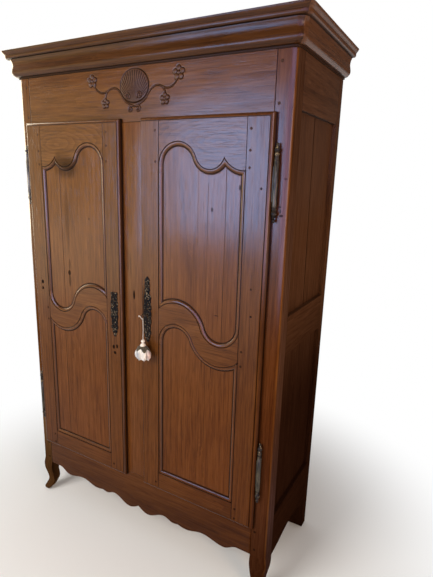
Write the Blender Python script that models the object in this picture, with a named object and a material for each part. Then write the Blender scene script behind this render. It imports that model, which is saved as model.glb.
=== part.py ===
"""Two-door country wardrobe: a pegged oak case with a fixed centre post, lipped doors with
shaped panels, long turned hinges, a lock with its key, and a loose cornice.

Metres, +Z up. The front plane of the posts is y = 0 in the sizes below; the whole piece is
then set so that its box stands centred on the origin. Heights are measured from the floor.
"""
import bmesh
import bpy
from math import acos, atan2, cos, hypot, pi, sin, sqrt
from mathutils import Matrix, Vector

for item in list(bpy.data.objects):
    bpy.data.objects.remove(item, do_unlink=True)

# Clearances
GAP = 0.0003              # left between pieces that touch
DOOR_CLEARANCE = 0.002    # round the rebated part of a door in its opening

# Case
CASE_WIDTH = 1.260
CASE_DEPTH = 0.495
SILL = 0.318              # top of the apron and of the floor
CASE_TOP = 2.012
FRIEZE_HEIGHT = 0.202
POST_WIDTH = 0.068
FRONT_POST_DEPTH = 0.058
REAR_POST_DEPTH = 0.045
POST_ROUNDING = 0.028
FRONT_THICKNESS = 0.026   # frieze, apron and centre post
CENTRE_POST_MIDDLE = -0.0043
CENTRE_POST_WIDTH = 0.1246
TENON_THICKNESS = 0.010
TENON_LENGTH = 0.036

# Sides and back
SIDE_RAIL_THICKNESS = 0.030
SIDE_TOP_RAIL_HEIGHT = 0.181
SIDE_MID_RAIL_BOTTOM = 1.0085
SIDE_MID_RAIL_TOP = 1.153
SIDE_BOTTOM_RAIL_TOP = 0.345
SIDE_BOTTOM_RAIL_BOTTOM = 0.160
SIDE_RAIL_ARCH = 0.022    # how far its lower edge rises at the middle
SIDE_RECESS = 0.0155      # panel behind the face of the side
PANEL_GROOVE = 0.010      # width of the grooves of the sides and the back
GROOVE_DEPTH = 0.0095
TONGUE = 0.008            # how far a panel enters its groove
BACK_INSET = 0.009        # back boards in front of the rear face
BACK_RAIL_THICKNESS = 0.024
BACK_TOP_RAIL_HEIGHT = 0.112
BACK_BOTTOM_RAIL_BOTTOM = 0.240
BACK_BOTTOM_RAIL_TOP = 0.345
BACK_TONGUE_THICKNESS = 0.004

# Inside
FLOOR_THICKNESS = 0.018
SHELF_BELOW_TOP = 0.412
SHELF_THICKNESS = 0.020
CLEAT_HEIGHT = 0.080
CLEAT_THICKNESS = 0.022
RAIL_DIAMETER = 0.028
RAIL_DROP = 0.035         # centre of the hanging rail below the shelf
DUST_BOARD_THICKNESS = 0.012

# Feet: height, outward swell, step in of the inner face, depth and corner rounding
FOOT_RINGS = [
    (0.000, -0.003, 0.044, 0.014, 0.006),
    (0.005, 0.002, 0.038, 0.016, 0.010),
    (0.014, 0.003, 0.031, 0.018, 0.014),
    (0.026, -0.001, 0.019, 0.023, 0.018),
    (0.043, -0.007, 0.010, 0.031, 0.021),
    (0.060, -0.009, 0.004, 0.039, 0.024),
    (0.077, -0.007, 0.001, 0.044, 0.026),
    (0.100, -0.002, 0.000, 0.042, 0.028),
    (0.125, 0.004, 0.000, 0.039, 0.030),
    (0.148, 0.006, 0.000, 0.043, 0.032),
    (0.168, 0.003, 0.000, 0.052, 0.030),
]
FOOT_TOP = 0.186

# Apron edge, from the middle outwards: distance, height, and whether it is a cusp
APRON_WAVES = [
    (0.000, 0.155, True),
    (0.053, 0.133, False),
    (0.143, 0.165, False),
    (0.190, 0.151, False),
    (0.217, 0.155, True),
    (0.256, 0.149, False),
    (0.342, 0.167, False),
    (0.440, 0.150, False),
    (0.505, 0.176, False),
]
APRON_STEPS = 4

# Doors
DOOR_PROUD = 0.024        # how far a door stands before the front plane
DOOR_BACK = 0.010         # how far it goes into its opening
DOOR_LIP = 0.012          # overlap of the lip on the frame
LIP_ROUND_WIDTH = 0.0135   # rounding of the lip, seen from the front
LIP_ROUND_DEPTH = 0.013    # the same rounding, from front to back
INNER_JOINT = 0.133       # joint of meeting stile and rails, from the case's axis
OUTER_JOINT = 0.483       # joint of hinge stile and rails
BEAD = 0.016              # width of the moulding round a panel
DOOR_PANEL_RECESS = 0.007
DOOR_GROOVE_DEPTH = 0.009
DOOR_GROOVE_FRONT = 0.0105   # groove behind the face of the door
DOOR_GROOVE = 0.009
DOOR_TENON_THICKNESS = 0.007
TENON_SHOULDER = 0.018    # rail left beyond the tenon, above and below it
WIDE_ARC_STEPS = 10       # spans in the wide arcs of the shaped rails
SHORT_ARC_STEPS = 5

# Shaped edges of the door rails
ARCH_BELOW_TOP = 0.084
ARCH_RADIUS = 0.082
ARCH_FOOT = 0.025         # straight run below the arch, down to the butt joint
DIP_BELOW_TOP = 0.177
DIP_RADIUS = 0.058
CUSP_FROM_AXIS = 0.402
SHOULDER_BELOW_TOP = 0.179
SHOULDER_CENTRE = 0.478
MID_RAIL = 1.045
CREST_ABOVE_MID = 0.107
CREST_CENTRE = 0.213
HOLLOW_BELOW_MID = 0.029
HOLLOW_RADIUS = 0.083
LOWER_ARCH_ABOVE_MID = 0.025
LOWER_ARCH_RADIUS = 0.080
LOWER_ARCH_FOOT = 0.014
BELLY_BELOW_MID = 0.103
BELLY_CENTRE = 0.400
PANEL_FOOT_ABOVE_DOOR = 0.087

# Hinges
HINGE_OUT = 0.010         # axis beyond the door's edge
HINGE_FORWARD = 0.0115    # axis before the front plane
HINGE_LENGTH = 0.250
UPPER_HINGE_BELOW_TOP = 0.092
LOWER_HINGE_ABOVE_BOTTOM = 0.124
BARREL_RADIUS = 0.0082
PIN_RADIUS = 0.0035
PIN_CLEARANCE = 0.0004
BARREL_BOTTOM = 0.051     # above the hinge's lower tip
BARREL_TOP = 0.193
LEAF_THICKNESS = 0.002
LEAF_DEPTH = 0.030
LEAF_END_MARGIN = 0.016

# Lock, key and plates
KEY_HEIGHT = 1.085
KEY_FROM_AXIS = 0.080
SHANK_RADIUS = 0.003
SHANK_CLEARANCE = 0.0005
KEYHOLE_RADIUS = 0.005
KEYHOLE_DROP = 0.016
KEYHOLE_SLOT = 0.0045
BOW_RADIUS = 0.0102
BOW_WIRE = 0.0018         # half the thickness of its wire
BOW_BEFORE_FRONT = 0.054  # centre of the bow before the front plane
BIT_HEIGHT = 0.011
BIT_THICKNESS = 0.003
LOCK_THICKNESS = 0.014
LOCK_LENGTH = 0.064
LOCK_HEIGHT = 0.100
LOCK_SETBACK = 0.002      # lock behind the rebated edge of the door
LOCK_WALL = 0.0028
BIT_SPACE = 0.0145
BOLT_THROW = 0.014
BOLT_HEIGHT = 0.016
BOLT_THICKNESS = 0.007
BOLT_LENGTH = 0.044
BOLT_ABOVE_KEY = 0.0175
BOLT_SETBACK = 0.0012     # withdrawn bolt behind the lock's end
PLATE_THICKNESS = 0.002
LEFT_PLATE_FROM_AXIS = 0.092
# Half outlines of the plates: height from the keyhole's centre and half width
PLATE_BODY = [
    (-0.113, 0.0015), (-0.104, 0.008), (-0.092, 0.014), (-0.070, 0.018), (-0.045, 0.0165),
    (-0.020, 0.019), (0.010, 0.0185), (0.035, 0.019), (0.055, 0.0165), (0.072, 0.018),
]
PLATE_FINIAL = [
    (0.084, 0.012), (0.096, 0.0105), (0.104, 0.013), (0.120, 0.012), (0.138, 0.012),
    (0.148, 0.008), (0.155, 0.0015),
]
PLATE_BROKEN_END = [(0.080, 0.013)]
LEFT_PLATE_DROP = 0.012   # left plate lower than the right one

# Turn button of the left door
BUTTON_FROM_AXIS = 0.098
BUTTON_HEIGHT = 1.050
BUTTON_ARM = 0.045
BUTTON_TAIL = 0.012
BUTTON_WIDTH = 0.014
BUTTON_THICKNESS = 0.007
BUTTON_BOSS_RADIUS = 0.0065
BUTTON_CLEARANCE = 0.0008

# Cord and tassel under the key: points of the cord as chosen, from the bow's lowest point
CORD_RADIUS = 0.001
CORD_GAP = 0.0006         # between the bow and the cord's end
CORD_PIVOT_DROP = 0.0008  # the cord swings about a line just under its end
CORD_ROUTE = [
    (0.0000, 0.0000, 0.0000), (0.0000, 0.0000, -0.0100), (0.0002, 0.0002, -0.0250),
    (0.0003, 0.0003, -0.0400), (0.0000, 0.0002, -0.0550), (-0.0004, 0.0000, -0.0690),
    (-0.0006, 0.0000, -0.0824),
]
TASSEL_DEPTH_SHARE = 0.70
TASSEL_LOBES = 7
LOBE_DEPTH = 0.16         # share by which the bell draws in between two lobes
BELL_START = 0.0330       # drop at which the lobes begin
# Turned outline of bead, cap and bell: distance below the cord's end and radius
TASSEL_PROFILE = [
    (0.0000, 0.0015), (0.0016, 0.0055), (0.0060, 0.0080), (0.0105, 0.0062), (0.0128, 0.0040),
    (0.0150, 0.0075), (0.0200, 0.0108), (0.0265, 0.0125), (0.0330, 0.0190), (0.0430, 0.0290),
    (0.0560, 0.0365), (0.0680, 0.0370), (0.0780, 0.0320), (0.0850, 0.0200), (0.0870, 0.0020),
]

# Cornice: projection and height of the moulding above its base
CORNICE_LAP = 0.012       # how far it reaches down over the case
CORNICE_SEAT = 0.014      # how far it lies on the case
CORNICE_CORNER = 0.028    # rounding of its corners in plan
CORNICE_HEIGHT = 0.105
CORNICE_PROJECTION = 0.049
CORNICE_PROFILE = [
    (0.0044, 0.0000), (0.0044, 0.0057), (0.0130, 0.0075), (0.0200, 0.0145), (0.0238, 0.0220),
    (0.0242, 0.0300), (0.0224, 0.0410), (0.0208, 0.0500), (0.0220, 0.0620), (0.0262, 0.0738),
    (0.0368, 0.0755), (0.0400, 0.0800), (0.0400, 0.0885), (0.0425, 0.0920),
    (CORNICE_PROJECTION, 0.1020), (CORNICE_PROJECTION, CORNICE_HEIGHT),
]
CORNER_STEPS = 4

# Rounds
ROUND_STEPS = 6
LATHE_STEPS = 14
LOBE_STEPS = 4

# Places worked out from the sizes
FRIEZE_BOTTOM = CASE_TOP - FRIEZE_HEIGHT
SHELF_TOP = CASE_TOP - SHELF_BELOW_TOP
CORNICE_BASE = CASE_TOP - CORNICE_LAP
HALF = CASE_WIDTH / 2
POST_INNER = HALF - POST_WIDTH
DOOR_TOP = FRIEZE_BOTTOM + DOOR_LIP
DOOR_BOTTOM = SILL - DOOR_LIP
HINGE_EDGE = POST_INNER + DOOR_LIP
CENTRE_RIGHT = CENTRE_POST_MIDDLE + CENTRE_POST_WIDTH / 2
CENTRE_LEFT = CENTRE_POST_MIDDLE - CENTRE_POST_WIDTH / 2
MEETING_EDGE = {1: CENTRE_RIGHT - DOOR_LIP, -1: -CENTRE_LEFT - DOOR_LIP}
REBATE = DOOR_LIP + DOOR_CLEARANCE
HINGE_X = HINGE_EDGE + HINGE_OUT
PANEL_OUTER = HALF - SIDE_RECESS
BACK_GROOVE_REAR = CASE_DEPTH - BACK_INSET
BOW_FRONT = -BOW_BEFORE_FRONT - BOW_RADIUS - BOW_WIRE
ORIGIN_DEPTH = (min(BOW_FRONT, -CORNICE_PROJECTION) + CASE_DEPTH) / 2
SIDES = {"left": -1, "right": 1}

# Colours: base, roughness, metallic
OAK = ((0.205, 0.088, 0.037), 0.42, 0.0)
OAK_DARK = ((0.120, 0.050, 0.024), 0.50, 0.0)
OAK_INSIDE = ((0.260, 0.140, 0.070), 0.70, 0.0)
IRON = ((0.030, 0.028, 0.027), 0.50, 0.9)
HINGE_BRASS = ((0.210, 0.170, 0.100), 0.40, 0.9)
STRING = ((0.750, 0.680, 0.600), 0.90, 0.0)
TASSEL_CLOTH = ((0.720, 0.600, 0.540), 0.90, 0.0)


# Mesh helpers

def add_loft(bm, rings):
    """Skin a stack of closed rings that have as many points each, and close both ends."""
    rows = []
    for ring in rings:
        rows.append([bm.verts.new(point) for point in ring])
    count = len(rows[0])
    for below, above in zip(rows, rows[1:]):
        for i in range(count):
            j = (i + 1) % count
            bm.faces.new((below[i], below[j], above[j], above[i]))
    bm.faces.new(rows[0])
    bm.faces.new(list(reversed(rows[-1])))


def add_box(bm, low, high):
    corners = [(low[0], low[1]), (high[0], low[1]), (high[0], high[1]), (low[0], high[1])]
    add_loft(bm, [[(x, y, z) for x, y in corners] for z in (low[2], high[2])])


def along(axis, place, point):
    """Lay a flat point in the plane across an axis, at a place on that axis."""
    if axis == "X":
        return (place, point[0], point[1])
    if axis == "Y":
        return (point[0], place, point[1])
    return (point[0], point[1], place)


def add_prism(bm, outline, axis, start, end):
    add_loft(bm, [[along(axis, place, point) for point in outline] for place in (start, end)])


def add_cylinder(bm, axis, centre, radius, start, end, steps=LATHE_STEPS):
    outline = circle_points(centre, radius, steps)
    add_prism(bm, outline, axis, start, end)


def circle_points(centre, radius, steps):
    points = []
    for step in range(steps):
        angle = 2 * pi * step / steps
        points.append((centre[0] + radius * cos(angle), centre[1] + radius * sin(angle)))
    return points


def add_lathe(bm, profile, centre):
    """Turn a profile of (radius, height) pairs round a vertical line."""
    rings = []
    for radius, height in profile:
        ring = [(x, y, height) for x, y in circle_points(centre, radius, LATHE_STEPS)]
        rings.append(ring)
    add_loft(bm, rings)


def box_mesh(low, high):
    bm = bmesh.new()
    add_box(bm, low, high)
    return bm


def material_for(name, finish):
    colour, roughness, metallic = finish
    material = bpy.data.materials.new(name)
    material.use_nodes = True
    shader = material.node_tree.nodes["Principled BSDF"]
    shader.inputs["Base Color"].default_value = (*colour, 1.0)
    shader.inputs["Roughness"].default_value = roughness
    shader.inputs["Metallic"].default_value = metallic
    return material


def clean(bm):
    bmesh.ops.remove_doubles(bm, verts=bm.verts, dist=0.000001)
    bmesh.ops.recalc_face_normals(bm, faces=bm.faces)
    bmesh.ops.triangulate(bm, faces=[face for face in bm.faces if len(face.verts) > 4])


def make(name, bm, finish, smooth=False):
    clean(bm)
    mesh = bpy.data.meshes.new(name)
    bm.to_mesh(mesh)
    bm.free()
    mesh.materials.append(material_for(name, finish))
    piece = bpy.data.objects.new(name, mesh)
    bpy.context.scene.collection.objects.link(piece)
    if smooth:
        mesh.shade_smooth()
        mesh.set_sharp_from_angle(angle=0.7)
    return piece


def combine(piece, bm, operation):
    """Join a tool mesh to a piece, or cut it out, and keep the result as the piece's mesh."""
    tool = make(piece.name + "_tool", bm, OAK)
    modifier = piece.modifiers.new(operation, "BOOLEAN")
    modifier.operation = operation
    modifier.solver = "EXACT"
    modifier.object = tool
    depsgraph = bpy.context.evaluated_depsgraph_get()
    result = bpy.data.meshes.new_from_object(piece.evaluated_get(depsgraph))
    piece.modifiers.clear()
    before = piece.data
    material = before.materials[0]
    piece.data = result
    result.materials.clear()
    result.materials.append(material)
    bpy.data.meshes.remove(before)
    used = tool.data
    bpy.data.objects.remove(tool)
    bpy.data.materials.remove(used.materials[0])
    bpy.data.meshes.remove(used)
    result.name = piece.name


def join_boxes(piece, boxes):
    for low, high in boxes:
        combine(piece, box_mesh(low, high), "UNION")


def cut_boxes(piece, boxes):
    for low, high in boxes:
        combine(piece, box_mesh(low, high), "DIFFERENCE")


def mirrored(box, side):
    """The same box on the left when side is -1; x runs outwards from the case's axis."""
    (x0, y0, z0), (x1, y1, z1) = box
    return ((min(side * x0, side * x1), y0, z0), (max(side * x0, side * x1), y1, z1))


def grown(box, clearance):
    low, high = box
    return (tuple(value - clearance for value in low), tuple(value + clearance for value in high))


# Tenons and their mortises, as boxes that rail and post share

def front_rail_tenon(bottom, top, side):
    """Tenon of the frieze or the apron in a front post."""
    middle = FRONT_THICKNESS / 2
    low = (POST_INNER - TENON_LENGTH / 4, middle - TENON_THICKNESS / 2, bottom + TENON_SHOULDER)
    high = (POST_INNER + TENON_LENGTH, middle + TENON_THICKNESS / 2, top - TENON_SHOULDER)
    return mirrored((low, high), side)


def side_rail_tenon(bottom, top, side, front):
    """Tenon of a side rail in the front or the rear post, in line with the panel groove."""
    low_x = PANEL_OUTER - PANEL_GROOVE + GAP
    high_x = PANEL_OUTER - GAP
    if front:
        start = FRONT_POST_DEPTH - TENON_LENGTH
        end = FRONT_POST_DEPTH + TENON_LENGTH / 4
    else:
        start = CASE_DEPTH - REAR_POST_DEPTH - TENON_LENGTH / 4
        end = CASE_DEPTH - REAR_POST_DEPTH + TENON_LENGTH * 3 / 4
    low = (low_x, start, bottom + TENON_SHOULDER)
    high = (high_x, end, top - TENON_SHOULDER)
    return mirrored((low, high), side)


def back_rail_tenon(bottom, top, side):
    low_y = BACK_GROOVE_REAR - PANEL_GROOVE + GAP
    low = (POST_INNER - TENON_LENGTH / 4, low_y, bottom + TENON_SHOULDER)
    high = (POST_INNER + TENON_LENGTH * 3 / 4, BACK_GROOVE_REAR - GAP, top - TENON_SHOULDER)
    return mirrored((low, high), side)


def centre_post_tenon(at_top):
    shoulder = FRIEZE_BOTTOM if at_top else SILL
    direction = 1 if at_top else -1
    ends = sorted((shoulder - direction * TENON_LENGTH / 4, shoulder + direction * TENON_LENGTH * 3 / 4))
    middle = FRONT_THICKNESS / 2
    low = (CENTRE_LEFT + TENON_SHOULDER, middle - TENON_THICKNESS / 2, ends[0])
    high = (CENTRE_RIGHT - TENON_SHOULDER, middle + TENON_THICKNESS / 2, ends[1])
    return (low, high)


SIDE_RAILS = {
    "top": (CASE_TOP - SIDE_TOP_RAIL_HEIGHT, CASE_TOP),
    "mid": (SIDE_MID_RAIL_BOTTOM, SIDE_MID_RAIL_TOP),
    "bottom": (SIDE_BOTTOM_RAIL_BOTTOM + SIDE_RAIL_ARCH, SIDE_BOTTOM_RAIL_TOP),
}
BACK_RAILS = {
    "top": (CASE_TOP - BACK_TOP_RAIL_HEIGHT, CASE_TOP),
    "bottom": (BACK_BOTTOM_RAIL_BOTTOM, BACK_BOTTOM_RAIL_TOP),
}
APRON_END = APRON_WAVES[-1][1]
FRONT_RAILS = {"frieze": (FRIEZE_BOTTOM, CASE_TOP), "apron": (APRON_END, SILL)}


# Hinge places

def hinge_bottoms():
    upper = DOOR_TOP - UPPER_HINGE_BELOW_TOP - HINGE_LENGTH
    lower = DOOR_BOTTOM + LOWER_HINGE_ABOVE_BOTTOM
    return {"upper": upper, "lower": lower}


def post_leaf_boxes(bottom, side):
    """The two leaves that hold a hinge pin in the post, below and above the barrel."""
    boxes = []
    spans = (
        (LEAF_END_MARGIN, BARREL_BOTTOM - 0.004),
        (BARREL_TOP + 0.004, HINGE_LENGTH - LEAF_END_MARGIN - 0.008),
    )
    for start, end in spans:
        low = (HINGE_X - LEAF_THICKNESS / 2, -HINGE_FORWARD, bottom + start)
        high = (HINGE_X + LEAF_THICKNESS / 2, LEAF_DEPTH - HINGE_FORWARD, bottom + end)
        boxes.append(mirrored((low, high), side))
    return boxes


def door_leaf_box(bottom, side):
    """The leaf that runs from the barrel into the edge of the hinge stile."""
    low_x = HINGE_EDGE - LEAF_DEPTH
    high_x = HINGE_X - PIN_RADIUS - PIN_CLEARANCE - 0.001
    low = (low_x, -HINGE_FORWARD - LEAF_THICKNESS / 2, bottom + BARREL_BOTTOM + LEAF_END_MARGIN)
    high = (high_x, -HINGE_FORWARD + LEAF_THICKNESS / 2, bottom + BARREL_TOP - LEAF_END_MARGIN)
    return mirrored((low, high), side)


# Front posts with their feet

def post_ring(side, height, swell, step_in, depth, rounding):
    outer = HALF + swell
    inner = POST_INNER + step_in
    points = [(inner, -swell)]
    for step in range(ROUND_STEPS + 1):
        angle = -pi / 2 + step * pi / 2 / ROUND_STEPS
        x = outer - rounding + rounding * cos(angle)
        points.append((x, -swell + rounding + rounding * sin(angle)))
    points.append((outer, depth))
    points.append((inner, depth))
    return [(side * x, y, height) for x, y in points]


def make_front_post(name, side):
    rings = []
    for height, swell, step_in, depth, rounding in FOOT_RINGS:
        rings.append(post_ring(side, height, swell, step_in, depth, rounding))
    for height in (FOOT_TOP, CASE_TOP):
        rings.append(post_ring(side, height, 0.0, 0.0, FRONT_POST_DEPTH, POST_ROUNDING))
    bm = bmesh.new()
    add_loft(bm, rings)
    post = make(name, bm, OAK, smooth=True)
    low = (PANEL_OUTER - PANEL_GROOVE, FRONT_POST_DEPTH - GROOVE_DEPTH, SIDE_BOTTOM_RAIL_TOP - TENON_SHOULDER)
    high = (PANEL_OUTER, FRONT_POST_DEPTH + GAP, CASE_TOP - TENON_SHOULDER)
    cuts = [mirrored((low, high), side)]
    for bottom, top in SIDE_RAILS.values():
        cuts.append(grown(side_rail_tenon(bottom, top, side, front=True), GAP))
    for bottom, top in FRONT_RAILS.values():
        cuts.append(grown(front_rail_tenon(bottom, top, side), GAP))
    for bottom in hinge_bottoms().values():
        for leaf in post_leaf_boxes(bottom, side):
            cuts.append(grown(leaf, GAP))
    cut_boxes(post, cuts)
    return post


def make_rear_post(name, side):
    start = CASE_DEPTH - REAR_POST_DEPTH
    box = mirrored(((POST_INNER, start, 0), (HALF, CASE_DEPTH, CASE_TOP)), side)
    post = make(name, box_mesh(*box), OAK_DARK)
    low = (PANEL_OUTER - PANEL_GROOVE, start - GAP, SIDE_BOTTOM_RAIL_TOP - TENON_SHOULDER)
    high = (PANEL_OUTER, start + GROOVE_DEPTH, CASE_TOP - TENON_SHOULDER)
    cuts = [mirrored((low, high), side)]
    low = (POST_INNER - GAP, BACK_GROOVE_REAR - PANEL_GROOVE, BACK_BOTTOM_RAIL_TOP - TENON_SHOULDER)
    high = (POST_INNER + GROOVE_DEPTH, BACK_GROOVE_REAR, CASE_TOP - TENON_SHOULDER)
    cuts.append(mirrored((low, high), side))
    for bottom, top in SIDE_RAILS.values():
        cuts.append(grown(side_rail_tenon(bottom, top, side, front=False), GAP))
    for bottom, top in BACK_RAILS.values():
        cuts.append(grown(back_rail_tenon(bottom, top, side), GAP))
    cut_boxes(post, cuts)
    return post


# Front rails and centre post

def apron_edge():
    """The waved lower edge from the middle to the right post."""
    points = []
    for start, end in zip(APRON_WAVES, APRON_WAVES[1:]):
        x0, z0, cusp0 = start
        x1, z1, cusp1 = end
        for step in range(APRON_STEPS):
            share = step / APRON_STEPS
            if cusp0:
                rise = sin(share * pi / 2)
            elif cusp1:
                rise = 1 - cos(share * pi / 2)
            else:
                rise = (1 - cos(share * pi)) / 2
            points.append((x0 + (x1 - x0) * share, z0 + (z1 - z0) * rise))
    points.append(APRON_WAVES[-1][:2])
    points.append((POST_INNER - GAP, APRON_END))
    return points


def make_frieze_rail():
    box = ((-POST_INNER + GAP, 0, FRIEZE_BOTTOM), (POST_INNER - GAP, FRONT_THICKNESS, CASE_TOP))
    rail = make("frieze_rail", box_mesh(*box), OAK)
    join_boxes(rail, [front_rail_tenon(*FRONT_RAILS["frieze"], side) for side in SIDES.values()])
    cut_boxes(rail, [grown(centre_post_tenon(at_top=True), GAP)])
    return rail


def make_apron_rail():
    right = apron_edge()
    left = [(-x, z) for x, z in reversed(right[1:])]
    outline = left + right + [(POST_INNER - GAP, SILL), (-POST_INNER + GAP, SILL)]
    bm = bmesh.new()
    add_prism(bm, outline, "Y", 0, FRONT_THICKNESS)
    rail = make("apron_rail", bm, OAK)
    join_boxes(rail, [front_rail_tenon(*FRONT_RAILS["apron"], side) for side in SIDES.values()])
    cut_boxes(rail, [grown(centre_post_tenon(at_top=False), GAP)])
    return rail


def bolt_box(thrown):
    """The bolt's box, withdrawn or thrown."""
    end = CENTRE_RIGHT + DOOR_CLEARANCE + LOCK_SETBACK + BOLT_SETBACK - thrown
    middle = DOOR_BACK + GAP + LOCK_THICKNESS / 2
    bottom = KEY_HEIGHT + BOLT_ABOVE_KEY
    low = (end, middle - BOLT_THICKNESS / 2, bottom)
    high = (end + BOLT_LENGTH, middle + BOLT_THICKNESS / 2, bottom + BOLT_HEIGHT)
    return (low, high)


def make_centre_post():
    low = (CENTRE_LEFT, 0, SILL + GAP)
    high = (CENTRE_RIGHT, FRONT_THICKNESS, FRIEZE_BOTTOM - GAP)
    post = make("centre_post", box_mesh(low, high), OAK)
    join_boxes(post, [centre_post_tenon(at_top=True), centre_post_tenon(at_top=False)])
    low, high = grown(bolt_box(BOLT_THROW), 0.001)
    cut_boxes(post, [(low, (CENTRE_RIGHT + GAP, high[1], high[2]))])
    return post


# Sides

def make_side_rail(name, side, which):
    bottom, top = SIDE_RAILS[which]
    start = FRONT_POST_DEPTH + GAP
    end = CASE_DEPTH - REAR_POST_DEPTH - GAP
    bm = bmesh.new()
    if which == "bottom":
        outline = [(start, top), (end, top)]
        for step in range(ROUND_STEPS * 2 + 1):
            share = step / (ROUND_STEPS * 2)
            rise = SIDE_RAIL_ARCH * sin(share * pi) ** 2
            outline.append((end + (start - end) * share, SIDE_BOTTOM_RAIL_BOTTOM + rise))
        add_prism(bm, outline, "X", side * (HALF - SIDE_RAIL_THICKNESS), side * HALF)
    else:
        box = ((HALF - SIDE_RAIL_THICKNESS, start, bottom), (HALF, end, top))
        add_box(bm, *mirrored(box, side))
    rail = make(name, bm, OAK)
    join_boxes(rail, [side_rail_tenon(bottom, top, side, front) for front in (True, False)])
    cuts = []
    groove_in = PANEL_OUTER - PANEL_GROOVE
    if which != "top":
        low = (groove_in, start - GAP, top - GROOVE_DEPTH)
        cuts.append(mirrored((low, (PANEL_OUTER, end + GAP, top + GAP)), side))
    if which != "bottom":
        high = (PANEL_OUTER, end + GAP, bottom + GROOVE_DEPTH)
        cuts.append(mirrored(((groove_in, start - GAP, bottom - GAP), high), side))
    if which == "bottom":
        inner = HALF - SIDE_RAIL_THICKNESS
        low = (inner - GAP, start - GAP, SILL - FLOOR_THICKNESS - GAP)
        high = (inner + TONGUE + GAP, end + GAP, SILL + GAP)
        cuts.append(mirrored((low, high), side))
    cut_boxes(rail, cuts)
    return rail


def make_side_panel(name, side, below, above):
    """A side panel between two rails, its edges in the grooves of rails and posts."""
    low = (PANEL_OUTER - PANEL_GROOVE + GAP, FRONT_POST_DEPTH - TONGUE, SIDE_RAILS[below][1] - TONGUE)
    end = CASE_DEPTH - REAR_POST_DEPTH + TONGUE
    high = (PANEL_OUTER - GAP, end, SIDE_RAILS[above][0] + TONGUE)
    return make(name, box_mesh(*mirrored((low, high), side)), OAK_DARK)


# Back

def make_back_rail(name, which):
    bottom, top = BACK_RAILS[which]
    front = CASE_DEPTH - BACK_RAIL_THICKNESS
    box = ((-POST_INNER + GAP, front, bottom), (POST_INNER - GAP, CASE_DEPTH, top))
    rail = make(name, box_mesh(*box), OAK_DARK)
    join_boxes(rail, [back_rail_tenon(bottom, top, side) for side in SIDES.values()])
    groove_front = BACK_GROOVE_REAR - PANEL_GROOVE
    if which == "bottom":
        low = (-POST_INNER, groove_front, top - GROOVE_DEPTH)
        high = (POST_INNER, BACK_GROOVE_REAR, top + GAP)
    else:
        low = (-POST_INNER, groove_front, bottom - GAP)
        high = (POST_INNER, BACK_GROOVE_REAR, bottom + GROOVE_DEPTH)
    cut_boxes(rail, [(low, high)])
    return rail


def make_back_panel(name, side):
    """Half of the back; the right half has a tongue in a groove of the left one."""
    front = BACK_GROOVE_REAR - PANEL_GROOVE + GAP
    rear = BACK_GROOVE_REAR - GAP
    middle = (front + rear) / 2
    half_tongue = BACK_TONGUE_THICKNESS / 2
    edge = POST_INNER + TONGUE
    if side > 0:
        outline = [
            (GAP / 2, front), (edge, front), (edge, rear), (GAP / 2, rear),
            (GAP / 2, middle + half_tongue), (GAP / 2 - TONGUE, middle + half_tongue),
            (GAP / 2 - TONGUE, middle - half_tongue), (GAP / 2, middle - half_tongue),
        ]
    else:
        depth = TONGUE + GAP
        outline = [
            (-edge, front), (-GAP / 2, front), (-GAP / 2, middle - half_tongue - GAP),
            (-GAP / 2 - depth, middle - half_tongue - GAP),
            (-GAP / 2 - depth, middle + half_tongue + GAP),
            (-GAP / 2, middle + half_tongue + GAP), (-GAP / 2, rear), (-edge, rear),
        ]
    bm = bmesh.new()
    bottom = BACK_RAILS["bottom"][1] - TONGUE
    add_prism(bm, outline, "Z", bottom, BACK_RAILS["top"][0] + TONGUE)
    return make(name, bm, OAK_DARK)


# Inside boards

def make_floor_board():
    """Floor with its corners cut out round the posts, its ends in the side rails."""
    wide = HALF - SIDE_RAIL_THICKNESS + TONGUE
    narrow = POST_INNER - GAP
    front_step = FRONT_POST_DEPTH + 2 * GAP
    rear_step = CASE_DEPTH - REAR_POST_DEPTH - 2 * GAP
    front = FRONT_THICKNESS + GAP
    rear = CASE_DEPTH - BACK_RAIL_THICKNESS - GAP
    right = [(narrow, front), (narrow, front_step), (wide, front_step), (wide, rear_step),
             (narrow, rear_step), (narrow, rear)]
    outline = right + [(-x, y) for x, y in reversed(right)]
    bm = bmesh.new()
    add_prism(bm, outline, "Z", SILL - FLOOR_THICKNESS, SILL)
    return make("floor_board", bm, OAK_INSIDE)


def make_dust_board():
    inner = CORNICE_SEAT + GAP
    low = (-HALF + inner, inner, CASE_TOP + GAP)
    high = (HALF - inner, CASE_DEPTH, CASE_TOP + GAP + DUST_BOARD_THICKNESS)
    return make("dust_board", box_mesh(low, high), OAK_INSIDE)


def make_shelf():
    low = (-POST_INNER + GAP, FRONT_THICKNESS + GAP, SHELF_TOP - SHELF_THICKNESS)
    high = (POST_INNER - GAP, CASE_DEPTH - BACK_RAIL_THICKNESS - GAP, SHELF_TOP)
    return make("shelf", box_mesh(low, high), OAK_INSIDE)


CLEAT_TOP = SHELF_TOP - SHELF_THICKNESS - GAP
HANGING_RAIL_HEIGHT = SHELF_TOP - SHELF_THICKNESS - RAIL_DROP
HANGING_RAIL_DEPTH = (FRONT_THICKNESS + CASE_DEPTH - BACK_RAIL_THICKNESS) / 2


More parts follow.
